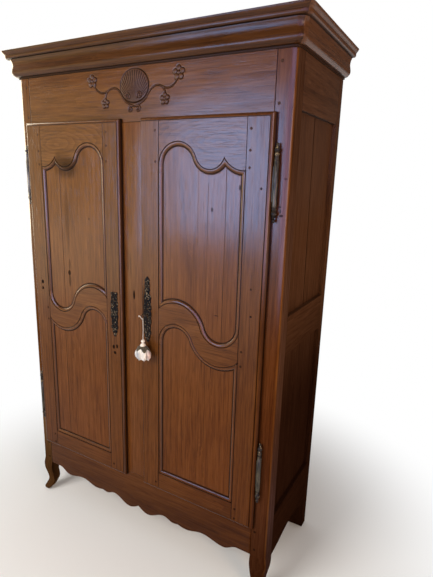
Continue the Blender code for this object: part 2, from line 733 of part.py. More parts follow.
def make_cleat(name, side):
    """A bar across the posts that carries the shelf and holds the end of the hanging rail."""
    low = (POST_INNER - GAP - CLEAT_THICKNESS, FRONT_THICKNESS + GAP, CLEAT_TOP - CLEAT_HEIGHT)
    high = (POST_INNER - GAP, CASE_DEPTH - BACK_RAIL_THICKNESS - GAP, CLEAT_TOP)
    cleat = make(name, box_mesh(*mirrored((low, high), side)), OAK_INSIDE)
    bm = bmesh.new()
    centre = (HANGING_RAIL_DEPTH, HANGING_RAIL_HEIGHT)
    inner = POST_INNER - CLEAT_THICKNESS - 2 * GAP
    outer = POST_INNER - GAP - CLEAT_THICKNESS / 4
    ends = sorted((side * inner, side * outer))
    add_cylinder(bm, "X", centre, RAIL_DIAMETER / 2 + GAP, *ends)
    combine(cleat, bm, "DIFFERENCE")
    return cleat


def make_hanging_rail():
    bm = bmesh.new()
    reach = POST_INNER - CLEAT_THICKNESS / 4 - 2 * GAP
    centre = (HANGING_RAIL_DEPTH, HANGING_RAIL_HEIGHT)
    add_cylinder(bm, "X", centre, RAIL_DIAMETER / 2, -reach, reach)
    return make("hanging_rail", bm, OAK_INSIDE, smooth=True)


# Cornice

def cornice_plan(projection, rounding):
    """Plan line of one moulding edge: up the left side, across the front, down the right."""
    wide = HALF + projection
    points = [(-wide, CASE_DEPTH)]
    for step in range(CORNER_STEPS * 2 + 1):
        angle = pi + step * pi / 2 / (CORNER_STEPS * 2)
        x = -wide + rounding + rounding * cos(angle)
        points.append((x, -projection + rounding + rounding * sin(angle)))
    right = [(-x, y) for x, y in reversed(points)]
    return points + right


def cornice_section():
    """Closed section of the moulding: its profile, top, inner face and rebated seat."""
    section = [(GAP, 0.0)] + CORNICE_PROFILE
    section += [(-CORNICE_SEAT, CORNICE_HEIGHT), (-CORNICE_SEAT, CORNICE_LAP + GAP)]
    section += [(GAP, CORNICE_LAP + GAP)]
    return section


def make_cornice(name, first, last):
    """A run of the cornice between two places on its plan line, shortened at the mitres."""
    rings = []
    for place in range(first, last + 1):
        ring = []
        for projection, height in cornice_section():
            rounding = CORNICE_CORNER if projection >= 0 else 0.0
            x, y = cornice_plan(projection, rounding)[place]
            if name == "cornice_front":
                x -= (x > 0) * GAP / 2
                x += (x < 0) * GAP / 2
            else:
                y += (y < CASE_DEPTH / 2) * GAP / 2
            ring.append((x, y, CORNICE_BASE + height))
        rings.append(ring)
    bm = bmesh.new()
    add_loft(bm, rings)
    return make(name, bm, OAK, smooth=True)


# Doors: shaped edges as arcs, each moved over by the width of moulding left on it

def arc(centre, radius, start, end, steps):
    points = []
    for step in range(steps + 1):
        angle = start + (end - start) * step / steps
        points.append((centre[0] + radius * cos(angle), centre[1] + radius * sin(angle)))
    return points


def joined(*runs):
    """Chain runs of points, leaving out the point that two runs share."""
    points = list(runs[0])
    for run in runs[1:]:
        points += run[1:]
    return points


def top_rail_edge(offset):
    """Lower edge of the top rail, from the meeting stile to the hinge stile."""
    arch = (INNER_JOINT + ARCH_RADIUS, DOOR_TOP - ARCH_BELOW_TOP - ARCH_RADIUS)
    dip_z = DOOR_TOP - DIP_BELOW_TOP + DIP_RADIUS
    reach = sqrt((ARCH_RADIUS + DIP_RADIUS) ** 2 - (dip_z - arch[1]) ** 2)
    dip = (arch[0] + reach, dip_z)
    tangent = atan2(dip[1] - arch[1], dip[0] - arch[0])
    cusp_z = dip_z - sqrt(DIP_RADIUS ** 2 - (CUSP_FROM_AXIS - dip[0]) ** 2)
    shoulder_z = DOOR_TOP - SHOULDER_BELOW_TOP
    across = SHOULDER_CENTRE - CUSP_FROM_AXIS
    rise = cusp_z - shoulder_z
    shoulder_radius = (across ** 2 + rise ** 2) / (2 * rise)
    shoulder = (SHOULDER_CENTRE, shoulder_z + shoulder_radius)
    cusp = lower_crossing(dip, DIP_RADIUS + offset, shoulder, shoulder_radius + offset)
    end_x = OUTER_JOINT - offset
    dip_end = atan2(cusp[1] - dip[1], cusp[0] - dip[0]) + 2 * pi
    shoulder_start = atan2(cusp[1] - shoulder[1], cusp[0] - shoulder[0]) + 2 * pi
    shoulder_end = 2 * pi - acos((end_x - shoulder[0]) / (shoulder_radius + offset))
    return joined(
        [(INNER_JOINT + offset, arch[1] - ARCH_FOOT), (INNER_JOINT + offset, arch[1])],
        arc(arch, ARCH_RADIUS - offset, pi, tangent, WIDE_ARC_STEPS),
        arc(dip, DIP_RADIUS + offset, tangent + pi, dip_end, SHORT_ARC_STEPS),
        arc(shoulder, shoulder_radius + offset, shoulder_start, shoulder_end, SHORT_ARC_STEPS),
    )


def lower_crossing(first, first_radius, second, second_radius):
    """The lower of the two points where two circles cross."""
    across = second[0] - first[0]
    up = second[1] - first[1]
    apart = hypot(across, up)
    along_line = (apart ** 2 + first_radius ** 2 - second_radius ** 2) / (2 * apart)
    off_line = sqrt(first_radius ** 2 - along_line ** 2)
    x = first[0] + (across * along_line + up * off_line) / apart
    z = first[1] + (up * along_line - across * off_line) / apart
    return (x, z)


def mid_rail_top_edge(offset):
    hollow = (OUTER_JOINT - HOLLOW_RADIUS, MID_RAIL - HOLLOW_BELOW_MID + HOLLOW_RADIUS)
    across = hollow[0] - CREST_CENTRE
    up = hollow[1] - (MID_RAIL + CREST_ABOVE_MID)
    crest_radius = (across ** 2 + up ** 2 - HOLLOW_RADIUS ** 2) / (2 * (HOLLOW_RADIUS - up))
    crest = (CREST_CENTRE, MID_RAIL + CREST_ABOVE_MID - crest_radius)
    tangent = atan2(hollow[1] - crest[1], hollow[0] - crest[0])
    start_x = INNER_JOINT + offset
    start = acos((start_x - crest[0]) / (crest_radius + offset))
    return joined(
        arc(crest, crest_radius + offset, start, tangent, WIDE_ARC_STEPS),
        arc(hollow, HOLLOW_RADIUS - offset, tangent + pi, 2 * pi, SHORT_ARC_STEPS),
    )


def mid_rail_bottom_edge(offset):
    arch = (INNER_JOINT + LOWER_ARCH_RADIUS, MID_RAIL + LOWER_ARCH_ABOVE_MID - LOWER_ARCH_RADIUS)
    across = BELLY_CENTRE - arch[0]
    up = MID_RAIL - BELLY_BELOW_MID - arch[1]
    belly_radius = (across ** 2 + up ** 2 - LOWER_ARCH_RADIUS ** 2) / (2 * (LOWER_ARCH_RADIUS - up))
    belly = (BELLY_CENTRE, MID_RAIL - BELLY_BELOW_MID + belly_radius)
    tangent = atan2(belly[1] - arch[1], belly[0] - arch[0])
    end_x = OUTER_JOINT - offset
    end = 2 * pi - acos((end_x - belly[0]) / (belly_radius + offset))
    return joined(
        [(INNER_JOINT + offset, arch[1] - LOWER_ARCH_FOOT), (INNER_JOINT + offset, arch[1])],
        arc(arch, LOWER_ARCH_RADIUS - offset, pi, tangent, WIDE_ARC_STEPS),
        arc(belly, belly_radius + offset, tangent + pi, end, SHORT_ARC_STEPS),
    )


def bottom_rail_edge(offset):
    height = DOOR_BOTTOM + PANEL_FOOT_ABOVE_DOOR + offset
    return [(INNER_JOINT + offset, height), (OUTER_JOINT - offset, height)]


# Sections through the edge of a door member, from front to back: depth before the front
# plane, how far the lip is drawn in, and how far the moulding reaches over the panel
FACE = -DOOR_PROUD


def lip_at(depth):
    """How far the rounded lip is drawn in at a depth."""
    share = max(0.0, 1 - (depth - FACE) / LIP_ROUND_DEPTH)
    return LIP_ROUND_WIDTH * (1 - sqrt(1 - share ** 2))


GROOVE_FRONT = FACE + DOOR_GROOVE_FRONT
GROOVE_REAR = GROOVE_FRONT + DOOR_GROOVE
BEAD_EDGE = FACE + DOOR_PANEL_RECESS - 0.0015
MEMBER_LAYERS = [
    (FACE, lip_at(FACE), 0.0),
    (FACE + 0.0015, lip_at(FACE + 0.0015), BEAD * 0.6),
    (BEAD_EDGE, lip_at(BEAD_EDGE), BEAD),
    (GROOVE_FRONT, lip_at(GROOVE_FRONT), BEAD),
    (GROOVE_FRONT, lip_at(GROOVE_FRONT), BEAD - DOOR_GROOVE_DEPTH),
    (GROOVE_REAR, 0.0, BEAD - DOOR_GROOVE_DEPTH),
    (GROOVE_REAR, 0.0, BEAD),
    (-0.0005, 0.0, BEAD),
    (-0.0005, REBATE, BEAD),
    (DOOR_BACK, REBATE, BEAD),
]
PANEL_FACE = FACE + DOOR_PANEL_RECESS
PANEL_LAYERS = [
    (PANEL_FACE, BEAD + GAP),
    (GROOVE_FRONT + GAP, BEAD + GAP),
    (GROOVE_FRONT + GAP, BEAD - TONGUE),
    (GROOVE_REAR - GAP, BEAD - TONGUE),
]


def run_end(edge, place, bead, shift=(0.0, 0.0)):
    """The end of a moulded run: at the joint, at the bottom of the groove and at its lip."""
    points = []
    for reach in (0.0, min(bead, BEAD - DOOR_GROOVE_DEPTH), bead):
        x, z = edge(reach)[place]
        points.append((x + shift[0], z + shift[1]))
    return points


def lip_end(x, door_end, lip):
    """The end of a member at the top or the foot of the door: the lip and its rebate."""
    inward = -1 if door_end == DOOR_TOP else 1
    return [(x, door_end + inward * lip), (x, door_end + inward * REBATE)]


def top_rail_outline(lip, bead):
    points = lip_end(INNER_JOINT + GAP, DOOR_TOP, lip)
    points += run_end(top_rail_edge, 0, bead, (GAP, 0))
    points += top_rail_edge(bead)[1:-1]
    points += reversed(run_end(top_rail_edge, -1, bead, (-GAP, 0)))
    points += reversed(lip_end(OUTER_JOINT - GAP, DOOR_TOP, lip))
    return points


def mid_rail_outline(lip, bead):
    points = run_end(mid_rail_top_edge, 0, bead, (GAP, 0))
    points += mid_rail_top_edge(bead)[1:-1]
    points += reversed(run_end(mid_rail_top_edge, -1, bead, (-GAP, 0)))
    points += run_end(mid_rail_bottom_edge, -1, bead, (-GAP, 0))
    points += reversed(mid_rail_bottom_edge(bead)[1:-1])
    points += reversed(run_end(mid_rail_bottom_edge, 0, bead, (GAP, 0)))
    return points


def bottom_rail_outline(lip, bead):
    points = lip_end(INNER_JOINT + GAP, DOOR_BOTTOM, lip)
    points += run_end(bottom_rail_edge, 0, bead, (GAP, 0))
    points += reversed(run_end(bottom_rail_edge, -1, bead, (-GAP, 0)))
    points += reversed(lip_end(OUTER_JOINT - GAP, DOOR_BOTTOM, lip))
    return points


def stile_outline(lip, bead, joint, place, outer):
    """A stile with the stretches of moulding that it carries beside the two panels."""
    play = 3 * GAP
    points = [(outer, DOOR_BOTTOM + lip), (outer, DOOR_TOP - lip)]
    points += lip_end(joint, DOOR_TOP, lip)
    points += run_end(top_rail_edge, place, bead, (0, -play))
    points += reversed(run_end(mid_rail_top_edge, place, bead, (0, play)))
    points += run_end(mid_rail_bottom_edge, place, bead, (0, -play))
    points += reversed(run_end(bottom_rail_edge, place, bead, (0, GAP)))
    points += reversed(lip_end(joint, DOOR_BOTTOM, lip))
    return points


def hinge_stile_outline(lip, bead):
    return stile_outline(lip, bead, OUTER_JOINT, -1, HINGE_EDGE - lip)


def meeting_stile_outline(lip, bead, edge):
    return stile_outline(lip, bead, INNER_JOINT, 0, edge + lip)


def upper_panel_outline(offset):
    return list(reversed(mid_rail_top_edge(offset))) + top_rail_edge(offset)


def lower_panel_outline(offset):
    return list(reversed(bottom_rail_edge(offset))) + mid_rail_bottom_edge(offset)


def door_member(name, side, outline):
    rings = []
    for depth, lip, bead in MEMBER_LAYERS:
        rings.append([(side * x, depth, z) for x, z in outline(lip, bead)])
    bm = bmesh.new()
    add_loft(bm, rings)
    return make(name, bm, OAK)


def door_panel(name, side, outline):
    rings = []
    for depth, offset in PANEL_LAYERS:
        rings.append([(side * x, depth, z) for x, z in outline(offset)])
    bm = bmesh.new()
    add_loft(bm, rings)
    return make(name, bm, OAK)


def door_tenon(bottom, top, side, inner):
    """Tenon of a door rail in its stile."""
    middle = (GROOVE_FRONT + GROOVE_REAR) / 2
    root = (BEAD - DOOR_GROOVE_DEPTH) / 2
    if inner:
        span = (INNER_JOINT - TENON_LENGTH, INNER_JOINT + root)
    else:
        span = (OUTER_JOINT - root, OUTER_JOINT + TENON_LENGTH)
    low = (span[0], middle - DOOR_TENON_THICKNESS / 2, bottom + TENON_SHOULDER)
    high = (span[1], middle + DOOR_TENON_THICKNESS / 2, top - TENON_SHOULDER)
    return mirrored((low, high), side)


def rail_tenons(side):
    """Tenons of the rails of a door: rail name, then its end at the meeting stile or not."""
    rebated_top = DOOR_TOP - REBATE
    rebated_bottom = DOOR_BOTTOM + REBATE
    foot = DOOR_BOTTOM + PANEL_FOOT_ABOVE_DOOR
    spans = {
        ("top", True): (top_rail_edge(0.0)[0][1], rebated_top),
        ("top", False): (top_rail_edge(0.0)[-1][1], rebated_top),
        ("mid", True): (mid_rail_bottom_edge(0.0)[0][1], mid_rail_top_edge(0.0)[0][1]),
        ("mid", False): (mid_rail_bottom_edge(0.0)[-1][1], mid_rail_top_edge(0.0)[-1][1]),
        ("bottom", True): (rebated_bottom - TENON_SHOULDER / 2, foot + TENON_SHOULDER / 2),
        ("bottom", False): (rebated_bottom - TENON_SHOULDER / 2, foot + TENON_SHOULDER / 2),
    }
    tenons = {}
    for (rail, inner), (bottom, top) in spans.items():
        tenons[(rail, inner)] = door_tenon(bottom, top, side, inner)
    return tenons


def cut_keyhole(piece, front, rear):
    bm = bmesh.new()
    add_cylinder(bm, "Y", (KEY_FROM_AXIS, KEY_HEIGHT), KEYHOLE_RADIUS, front, rear)
    combine(piece, bm, "DIFFERENCE")
    low = (KEY_FROM_AXIS - KEYHOLE_SLOT / 2, front, KEY_HEIGHT - KEYHOLE_DROP)
    high = (KEY_FROM_AXIS + KEYHOLE_SLOT / 2, rear, KEY_HEIGHT)
    cut_boxes(piece, [(low, high)])


def make_door(word, side):
    tenons = rail_tenons(side)
    pieces = []
    outlines = {"top": top_rail_outline, "mid": mid_rail_outline, "bottom": bottom_rail_outline}
    for rail, outline in outlines.items():
        piece = door_member(word + "_door_" + rail + "_rail", side, outline)
        join_boxes(piece, [tenons[(rail, True)], tenons[(rail, False)]])
        pieces.append(piece)
    hinge_stile = door_member(word + "_door_hinge_stile", side, hinge_stile_outline)
    cuts = [grown(tenons[(rail, False)], GAP) for rail in outlines]
    for bottom in hinge_bottoms().values():
        cuts.append(grown(door_leaf_box(bottom, side), GAP))
    cut_boxes(hinge_stile, cuts)
    pieces.append(hinge_stile)

    def meeting_outline(lip, bead):
        return meeting_stile_outline(lip, bead, MEETING_EDGE[side])

    meeting_stile = door_member(word + "_door_meeting_stile", side, meeting_outline)
    cut_boxes(meeting_stile, [grown(tenons[(rail, True)], GAP) for rail in outlines])
    if side > 0:
        cut_keyhole(meeting_stile, FACE - GAP, DOOR_BACK + GAP)
    pieces.append(meeting_stile)
    pieces.append(door_panel(word + "_door_upper_panel", side, upper_panel_outline))
    pieces.append(door_panel(word + "_door_lower_panel", side, lower_panel_outline))
    return pieces


# Hinges

def hinge_pin_profile(bottom):
    """Lower finial and knuckle, the pin inside the barrel, upper knuckle and finial."""
    knuckle = BARREL_RADIUS - 0.0010
    ring = BARREL_RADIUS + 0.0006
    neck = BARREL_RADIUS * 0.55
    lower = [
        (0.0008, 0.000), (0.0045, 0.004), (0.0052, 0.009), (0.0030, 0.014), (neck, 0.018),
        (ring, 0.026), (ring, 0.034), (neck + 0.001, 0.041), (knuckle, 0.044),
        (knuckle, BARREL_BOTTOM - GAP),
    ]
    upper = [
        (knuckle, BARREL_TOP + GAP), (knuckle, BARREL_TOP + 0.026), (neck, BARREL_TOP + 0.032),
        (0.0062, BARREL_TOP + 0.039), (0.0055, BARREL_TOP + 0.045), (0.0028, HINGE_LENGTH - 0.007),
        (0.0008, HINGE_LENGTH),
    ]
    pin = [(PIN_RADIUS, BARREL_BOTTOM - GAP), (PIN_RADIUS, BARREL_TOP + GAP)]
    return [(radius, bottom + height) for radius, height in lower + pin + upper]


def make_hinge(word, side, place, bottom):
    centre = (side * HINGE_X, -HINGE_FORWARD)
    bm = bmesh.new()
    add_lathe(bm, hinge_pin_profile(bottom), centre)
    pin = make(word + "_" + place + "_hinge_pin", bm, IRON, smooth=True)
    join_boxes(pin, post_leaf_boxes(bottom, side))
    bm = bmesh.new()
    add_lathe(bm, [(BARREL_RADIUS, bottom + BARREL_BOTTOM), (BARREL_RADIUS, bottom + BARREL_TOP)], centre)
    barrel = make(word + "_" + place + "_hinge_barrel", bm, HINGE_BRASS, smooth=True)
    join_boxes(barrel, [door_leaf_box(bottom, side)])
    bm = bmesh.new()
    bore = PIN_RADIUS + PIN_CLEARANCE
    start = bottom + BARREL_BOTTOM - GAP
    add_lathe(bm, [(bore, start), (bore, bottom + BARREL_TOP + GAP)], centre)
    combine(barrel, bm, "DIFFERENCE")
    return pin, barrel


# Plates, lock and key

def plate_mesh(centre, outline, front):
    points = [(centre[0] + half, centre[1] + height) for height, half in outline]
    points += [(centre[0] - half, centre[1] + height) for height, half in reversed(outline)]
    bm = bmesh.new()
    add_prism(bm, points, "Y", front, front + PLATE_THICKNESS)
    return bm


PLATE_FRONT = FACE - GAP - PLATE_THICKNESS


def make_right_escutcheon():
    bm = plate_mesh((KEY_FROM_AXIS, KEY_HEIGHT), PLATE_BODY + PLATE_FINIAL, PLATE_FRONT)
    plate = make("right_door_escutcheon", bm, IRON)
    cut_keyhole(plate, PLATE_FRONT - GAP, FACE)
    return plate


def make_left_escutcheon():
    centre = (-LEFT_PLATE_FROM_AXIS, KEY_HEIGHT - LEFT_PLATE_DROP)
    bm = plate_mesh(centre, PLATE_BODY + PLATE_BROKEN_END, PLATE_FRONT)
    return make("left_door_escutcheon", bm, IRON)


LOCK_FRONT = DOOR_BACK + GAP
LOCK_REAR = LOCK_FRONT + LOCK_THICKNESS


def make_lock_case():
    start = CENTRE_RIGHT + DOOR_CLEARANCE + LOCK_SETBACK
    low = (start, LOCK_FRONT, KEY_HEIGHT - LOCK_HEIGHT / 2)
    high = (start + LOCK_LENGTH, LOCK_REAR, KEY_HEIGHT + LOCK_HEIGHT / 2)
    case = make("lock_case", box_mesh(low, high), IRON)
    (x0, y0, z0), (x1, y1, z1) = grown(bolt_box(0.0), GAP)
    cut_boxes(case, [((start - GAP, y0, z0), (x1, y1, z1))])
    centre = (KEY_FROM_AXIS, KEY_HEIGHT)
    bm = bmesh.new()
    add_cylinder(bm, "Y", centre, BIT_SPACE, LOCK_FRONT - GAP, LOCK_REAR - LOCK_WALL)
    combine(case, bm, "DIFFERENCE")
    bm = bmesh.new()
    add_cylinder(bm, "Y", centre, SHANK_RADIUS + SHANK_CLEARANCE, LOCK_FRONT, LOCK_REAR + GAP)
    combine(case, bm, "DIFFERENCE")
    return case


def make_lock_bolt():
    return make("lock_bolt", box_mesh(*bolt_box(0.0)), HINGE_BRASS)


def make_key():
    """Bow, shank and bit; the shank's end turns in the back of the lock."""
    bm = bmesh.new()
    shank_front = -BOW_BEFORE_FRONT + BOW_RADIUS
    shank_rear = LOCK_REAR - GAP
    add_cylinder(bm, "Y", (KEY_FROM_AXIS, KEY_HEIGHT), SHANK_RADIUS, shank_front, shank_rear, steps=10)
    key = make("key", bm, IRON, smooth=True)
    bm = bmesh.new()
    rings = []
    turns = 16
    for turn in range(turns):
        angle = 2 * pi * turn / turns
        ring = []
        for across, out in circle_points((0, 0), BOW_WIRE, 8):
            radius = BOW_RADIUS + out
            y = -BOW_BEFORE_FRONT + radius * cos(angle)
            ring.append((KEY_FROM_AXIS + across, y, KEY_HEIGHT + radius * sin(angle)))
        rings.append([bm.verts.new(point) for point in ring])
    for one, other in zip(rings, rings[1:] + rings[:1]):
        for i in range(len(one)):
            j = (i + 1) % len(one)
            bm.faces.new((one[i], one[j], other[j], other[i]))
    combine(key, bm, "UNION")
    low = (KEY_FROM_AXIS - BIT_THICKNESS / 2, LOCK_FRONT + 0.002, KEY_HEIGHT - SHANK_RADIUS / 2 - BIT_HEIGHT)
    high = (KEY_FROM_AXIS + BIT_THICKNESS / 2, LOCK_REAR - LOCK_WALL - 0.001, KEY_HEIGHT)
    join_boxes(key, [(low, high)])
    return key


# Turn button behind the centre post

def make_turn_button():
    bm = bmesh.new()
    x = -BUTTON_FROM_AXIS
    front = FRONT_THICKNESS + BUTTON_CLEARANCE
    low = (x - BUTTON_WIDTH / 2, front, BUTTON_HEIGHT - BUTTON_ARM)
    high = (x + BUTTON_WIDTH / 2, front + BUTTON_THICKNESS, BUTTON_HEIGHT + BUTTON_TAIL)
    add_box(bm, low, high)
    button = make("left_door_turn_button", bm, OAK_INSIDE)
    bm = bmesh.new()
    centre = (x, BUTTON_HEIGHT)
    rear = front + BUTTON_THICKNESS / 2
    add_cylinder(bm, "Y", centre, BUTTON_BOSS_RADIUS, DOOR_BACK + GAP, rear)
    combine(button, bm, "UNION")
    return button


# Cord and tassel

BOW_CENTRE = Vector((KEY_FROM_AXIS, -BOW_BEFORE_FRONT, KEY_HEIGHT))
CORD_START = Vector((0, 0, -BOW_RADIUS - BOW_WIRE - CORD_GAP))


def smooth_route(points, steps):
    """Points read from a smooth curve through the route's own points."""
    route = [Vector(point) for point in points]
    padded = [2 * route[0] - route[1]] + route + [2 * route[-1] - route[-2]]
    result = []
    for i in range(1, len(padded) - 2):
        p0, p1, p2, p3 = padded[i - 1:i + 3]
        for step in range(steps):
            t = step / steps
            result.append(0.5 * (2 * p1 + (p2 - p0) * t + (2 * p0 - 5 * p1 + 4 * p2 - p3) * t ** 2
                                 + (3 * p1 - p0 - 3 * p2 + p3) * t ** 3))
    result.append(route[-1])
    return result


def make_tassel_cord():
    curve = bpy.data.curves.new("tassel_cord", "CURVE")
    curve.dimensions = "3D"
    curve.bevel_depth = CORD_RADIUS
    curve.bevel_resolution = 2
    curve.use_fill_caps = True
    points = smooth_route(CORD_ROUTE, 2)
    spline = curve.splines.new("POLY")
    spline.points.add(len(points) - 1)
    for place, point in zip(spline.points, points):
        place.co = (point.x, point.y, point.z + CORD_PIVOT_DROP, 1.0)
    curve.materials.append(material_for("tassel_cord", STRING))
    cord = bpy.data.objects.new("tassel_cord", curve)
    bpy.context.scene.collection.objects.link(cord)
    return cord


def make_tassel():
    end = BOW_CENTRE + CORD_START + Vector(CORD_ROUTE[-1])
    rings = []
    for drop, radius in TASSEL_PROFILE:
        full = min(1.0, max(0.0, (drop - BELL_START) / BELL_START))
        ring = []
        for step in range(TASSEL_LOBES * LOBE_STEPS):
            angle = 2 * pi * step / (TASSEL_LOBES * LOBE_STEPS)
            drawn_in = LOBE_DEPTH * full * (1 - cos(TASSEL_LOBES * angle)) / 2
            reach = radius * (1 - drawn_in)
            x = end.x + reach * cos(angle)
            y = end.y + TASSEL_DEPTH_SHARE * reach * sin(angle)
            ring.append((x, y, end.z - GAP - drop))
        rings.append(ring)
    bm = bmesh.new()
    add_loft(bm, rings)
    return make("tassel", bm, TASSEL_CLOTH, smooth=True)


# Assembly

def empty_at(name, point, parent, parent_point):
    empty = bpy.data.objects.new(name, None)
    bpy.context.scene.collection.objects.link(empty)
    empty.parent = parent
    empty.location = point - parent_point
    return empty


def hang(pieces, empty, point):
    """Put pieces under an empty and move their origins to it."""
    for piece in pieces:
        if piece.type == "MESH":
            piece.data.transform(Matrix.Translation(-point))
        piece.parent = empty


FRONT_PLANE = Vector((0, 0, 0))
wardrobe = empty_at("wardrobe", Vector((0, -ORIGIN_DEPTH, 0)), None, Vector((0, 0, 0)))

case = [make_frieze_rail(), make_apron_rail(), make_centre_post()]
for word, side in SIDES.items():
    case.append(make_front_post("front_post_" + word, side))
    case.append(make_rear_post("rear_post_" + word, side))
    for which in SIDE_RAILS:
        case.append(make_side_rail("side_" + which + "_rail_" + word, side, which))
    case.append(make_side_panel("side_upper_panel_" + word, side, "mid", "top"))
    case.append(make_side_panel("side_lower_panel_" + word, side, "bottom", "mid"))
    case.append(make_back_panel("back_panel_" + word, side))
    case.append(make_cleat("cleat_" + word, side))
case += [make_back_rail("back_top_rail", "top"), make_back_rail("back_bottom_rail", "bottom")]
case += [make_floor_board(), make_dust_board(), make_shelf(), make_hanging_rail()]
LAST_PLACE = len(cornice_plan(0.0, 0.0)) - 1
MITRE_PLACE = 1 + CORNER_STEPS
case.append(make_cornice("cornice_left", 0, MITRE_PLACE))
case.append(make_cornice("cornice_front", MITRE_PLACE, LAST_PLACE - MITRE_PLACE))
case.append(make_cornice("cornice_right", LAST_PLACE - MITRE_PLACE, LAST_PLACE))

doors = {}
pivots = {}
for word, side in SIDES.items():
    doors[word] = make_door(word, side)
    pivots[word] = Vector((side * HINGE_X, -HINGE_FORWARD, 0))
    for place, bottom in hinge_bottoms().items():
        pin, barrel = make_hinge(word, side, place, bottom)
        case.append(pin)
        doors[word].append(barrel)
doors["left"].append(make_left_escutcheon())
doors["right"] += [make_right_escutcheon(), make_lock_case()]

hang(case, wardrobe, FRONT_PLANE)
pivot_empties = {}
for word in SIDES:
    pivot_empties[word] = empty_at(word + "_door_pivot", pivots[word], wardrobe, FRONT_PLANE)
    hang(doors[word], pivot_empties[word], pivots[word])

key_point = Vector((KEY_FROM_AXIS, FACE, KEY_HEIGHT))
key_empty = empty_at("key_pivot", key_point, pivot_empties["right"], pivots["right"])
hang([make_key()], key_empty, key_point)

bolt_low, bolt_high = bolt_box(0.0)
bolt_point = (Vector(bolt_low) + Vector(bolt_high)) / 2
bolt_empty = empty_at("lock_bolt_slide", bolt_point, pivot_empties["right"], pivots["right"])
hang([make_lock_bolt()], bolt_empty, bolt_point)

tassel_point = BOW_CENTRE + CORD_START - Vector((0, 0, CORD_PIVOT_DROP))
tassel_empty = empty_at("tassel_pivot", tassel_point, pivot_empties["right"], pivots["right"])
hang([make_tassel(), make_tassel_cord()], tassel_empty, tassel_point)

button_point = Vector((-BUTTON_FROM_AXIS, DOOR_BACK, BUTTON_HEIGHT))
button_empty = empty_at("turn_button_pivot", button_point, pivot_empties["left"], pivots["left"])
hang([make_turn_button()], button_empty, button_point)
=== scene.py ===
"""Looks of the two-door wardrobe: waxed oak with its grain and wear, moulded door members,
carved frieze, turned hinges, pierced plates, key and tassel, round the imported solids.

Sizes are metres in the frame of the part's source: y = 0 is the front plane of the posts, and
every new mesh is moved back by CASE_SHIFT at the end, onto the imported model.
"""
from functools import partial
from math import acos, atan2, cos, exp, hypot, pi, radians, sin, sqrt

import bmesh
import bpy
from mathutils import Matrix, Vector


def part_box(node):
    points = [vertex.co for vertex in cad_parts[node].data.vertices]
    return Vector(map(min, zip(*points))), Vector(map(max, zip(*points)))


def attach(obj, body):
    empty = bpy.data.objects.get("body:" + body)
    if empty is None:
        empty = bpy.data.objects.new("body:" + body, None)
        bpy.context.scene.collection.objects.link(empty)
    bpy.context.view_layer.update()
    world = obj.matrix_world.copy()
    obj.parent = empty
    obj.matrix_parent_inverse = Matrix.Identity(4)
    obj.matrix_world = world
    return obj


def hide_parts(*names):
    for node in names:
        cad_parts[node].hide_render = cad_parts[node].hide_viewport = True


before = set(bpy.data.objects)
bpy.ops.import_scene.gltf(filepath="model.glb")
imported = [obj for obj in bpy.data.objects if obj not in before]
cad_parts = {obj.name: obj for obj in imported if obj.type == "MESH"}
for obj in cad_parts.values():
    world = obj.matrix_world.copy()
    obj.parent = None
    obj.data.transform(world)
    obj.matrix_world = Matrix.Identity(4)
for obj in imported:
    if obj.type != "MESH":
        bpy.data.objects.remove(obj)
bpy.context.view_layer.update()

# Sizes shared with the part's source
CASE_SHIFT = -0.2145
GAP = 0.0003
CASE_WIDTH = 1.260
CASE_DEPTH = 0.495
CASE_TOP = 2.012
POST_WIDTH = 0.068
FRONT_POST_DEPTH = 0.058
POST_ROUNDING = 0.028
FRONT_THICKNESS = 0.026
SILL = 0.318
HEAD = 1.810
APRON_END = 0.176
REAR_POST_FRONT = 0.450
SIDE_RAIL_THICKNESS = 0.030
SIDE_BOTTOM_RAIL = (0.160, 0.345)
SIDE_RAIL_ARCH = 0.022
HALF = CASE_WIDTH / 2
POST_INNER = HALF - POST_WIDTH

ARRIS = 0.0012
SIDES = {"left": -1, "right": 1}
AXES = "XYZ"

# Camera, found from the right angles of the wardrobe in the photograph
CAMERA_PLACE = (1.155, -1.383, 1.614)
CAMERA_YAW = -29.44
CAMERA_PITCH = -13.59
CAMERA_ROLL = 1.74
CAMERA_FOCAL_PIXELS = 453.1
SENSOR_HEIGHT = 36
IMAGE_HEIGHT = 577


def placed(name, data):
    """A new object in the scene."""
    item = bpy.data.objects.new(name, data)
    bpy.context.scene.collection.objects.link(item)
    return item


def place_camera():
    yaw, pitch, roll = radians(CAMERA_YAW), radians(CAMERA_PITCH), radians(CAMERA_ROLL)
    ahead = Vector((sin(yaw) * cos(pitch), cos(yaw) * cos(pitch), sin(pitch)))
    level_right = Vector((cos(yaw), -sin(yaw), 0))
    level_up = level_right.cross(ahead)
    right = cos(roll) * level_right + sin(roll) * level_up
    up = cos(roll) * level_up - sin(roll) * level_right
    data = bpy.data.cameras.new("camera")
    data.sensor_fit = "VERTICAL"
    data.sensor_height = SENSOR_HEIGHT
    data.lens = CAMERA_FOCAL_PIXELS * SENSOR_HEIGHT / IMAGE_HEIGHT
    data.clip_start = 0.02
    camera = placed("camera", data)
    matrix = Matrix((right, up, -ahead)).transposed().to_4x4()
    matrix.translation = Vector(CAMERA_PLACE) + Vector((0, CASE_SHIFT, 0))
    camera.matrix_world = matrix
    bpy.context.scene.camera = camera


place_camera()
bpy.context.scene.view_settings.view_transform = "Standard"


# Node trees

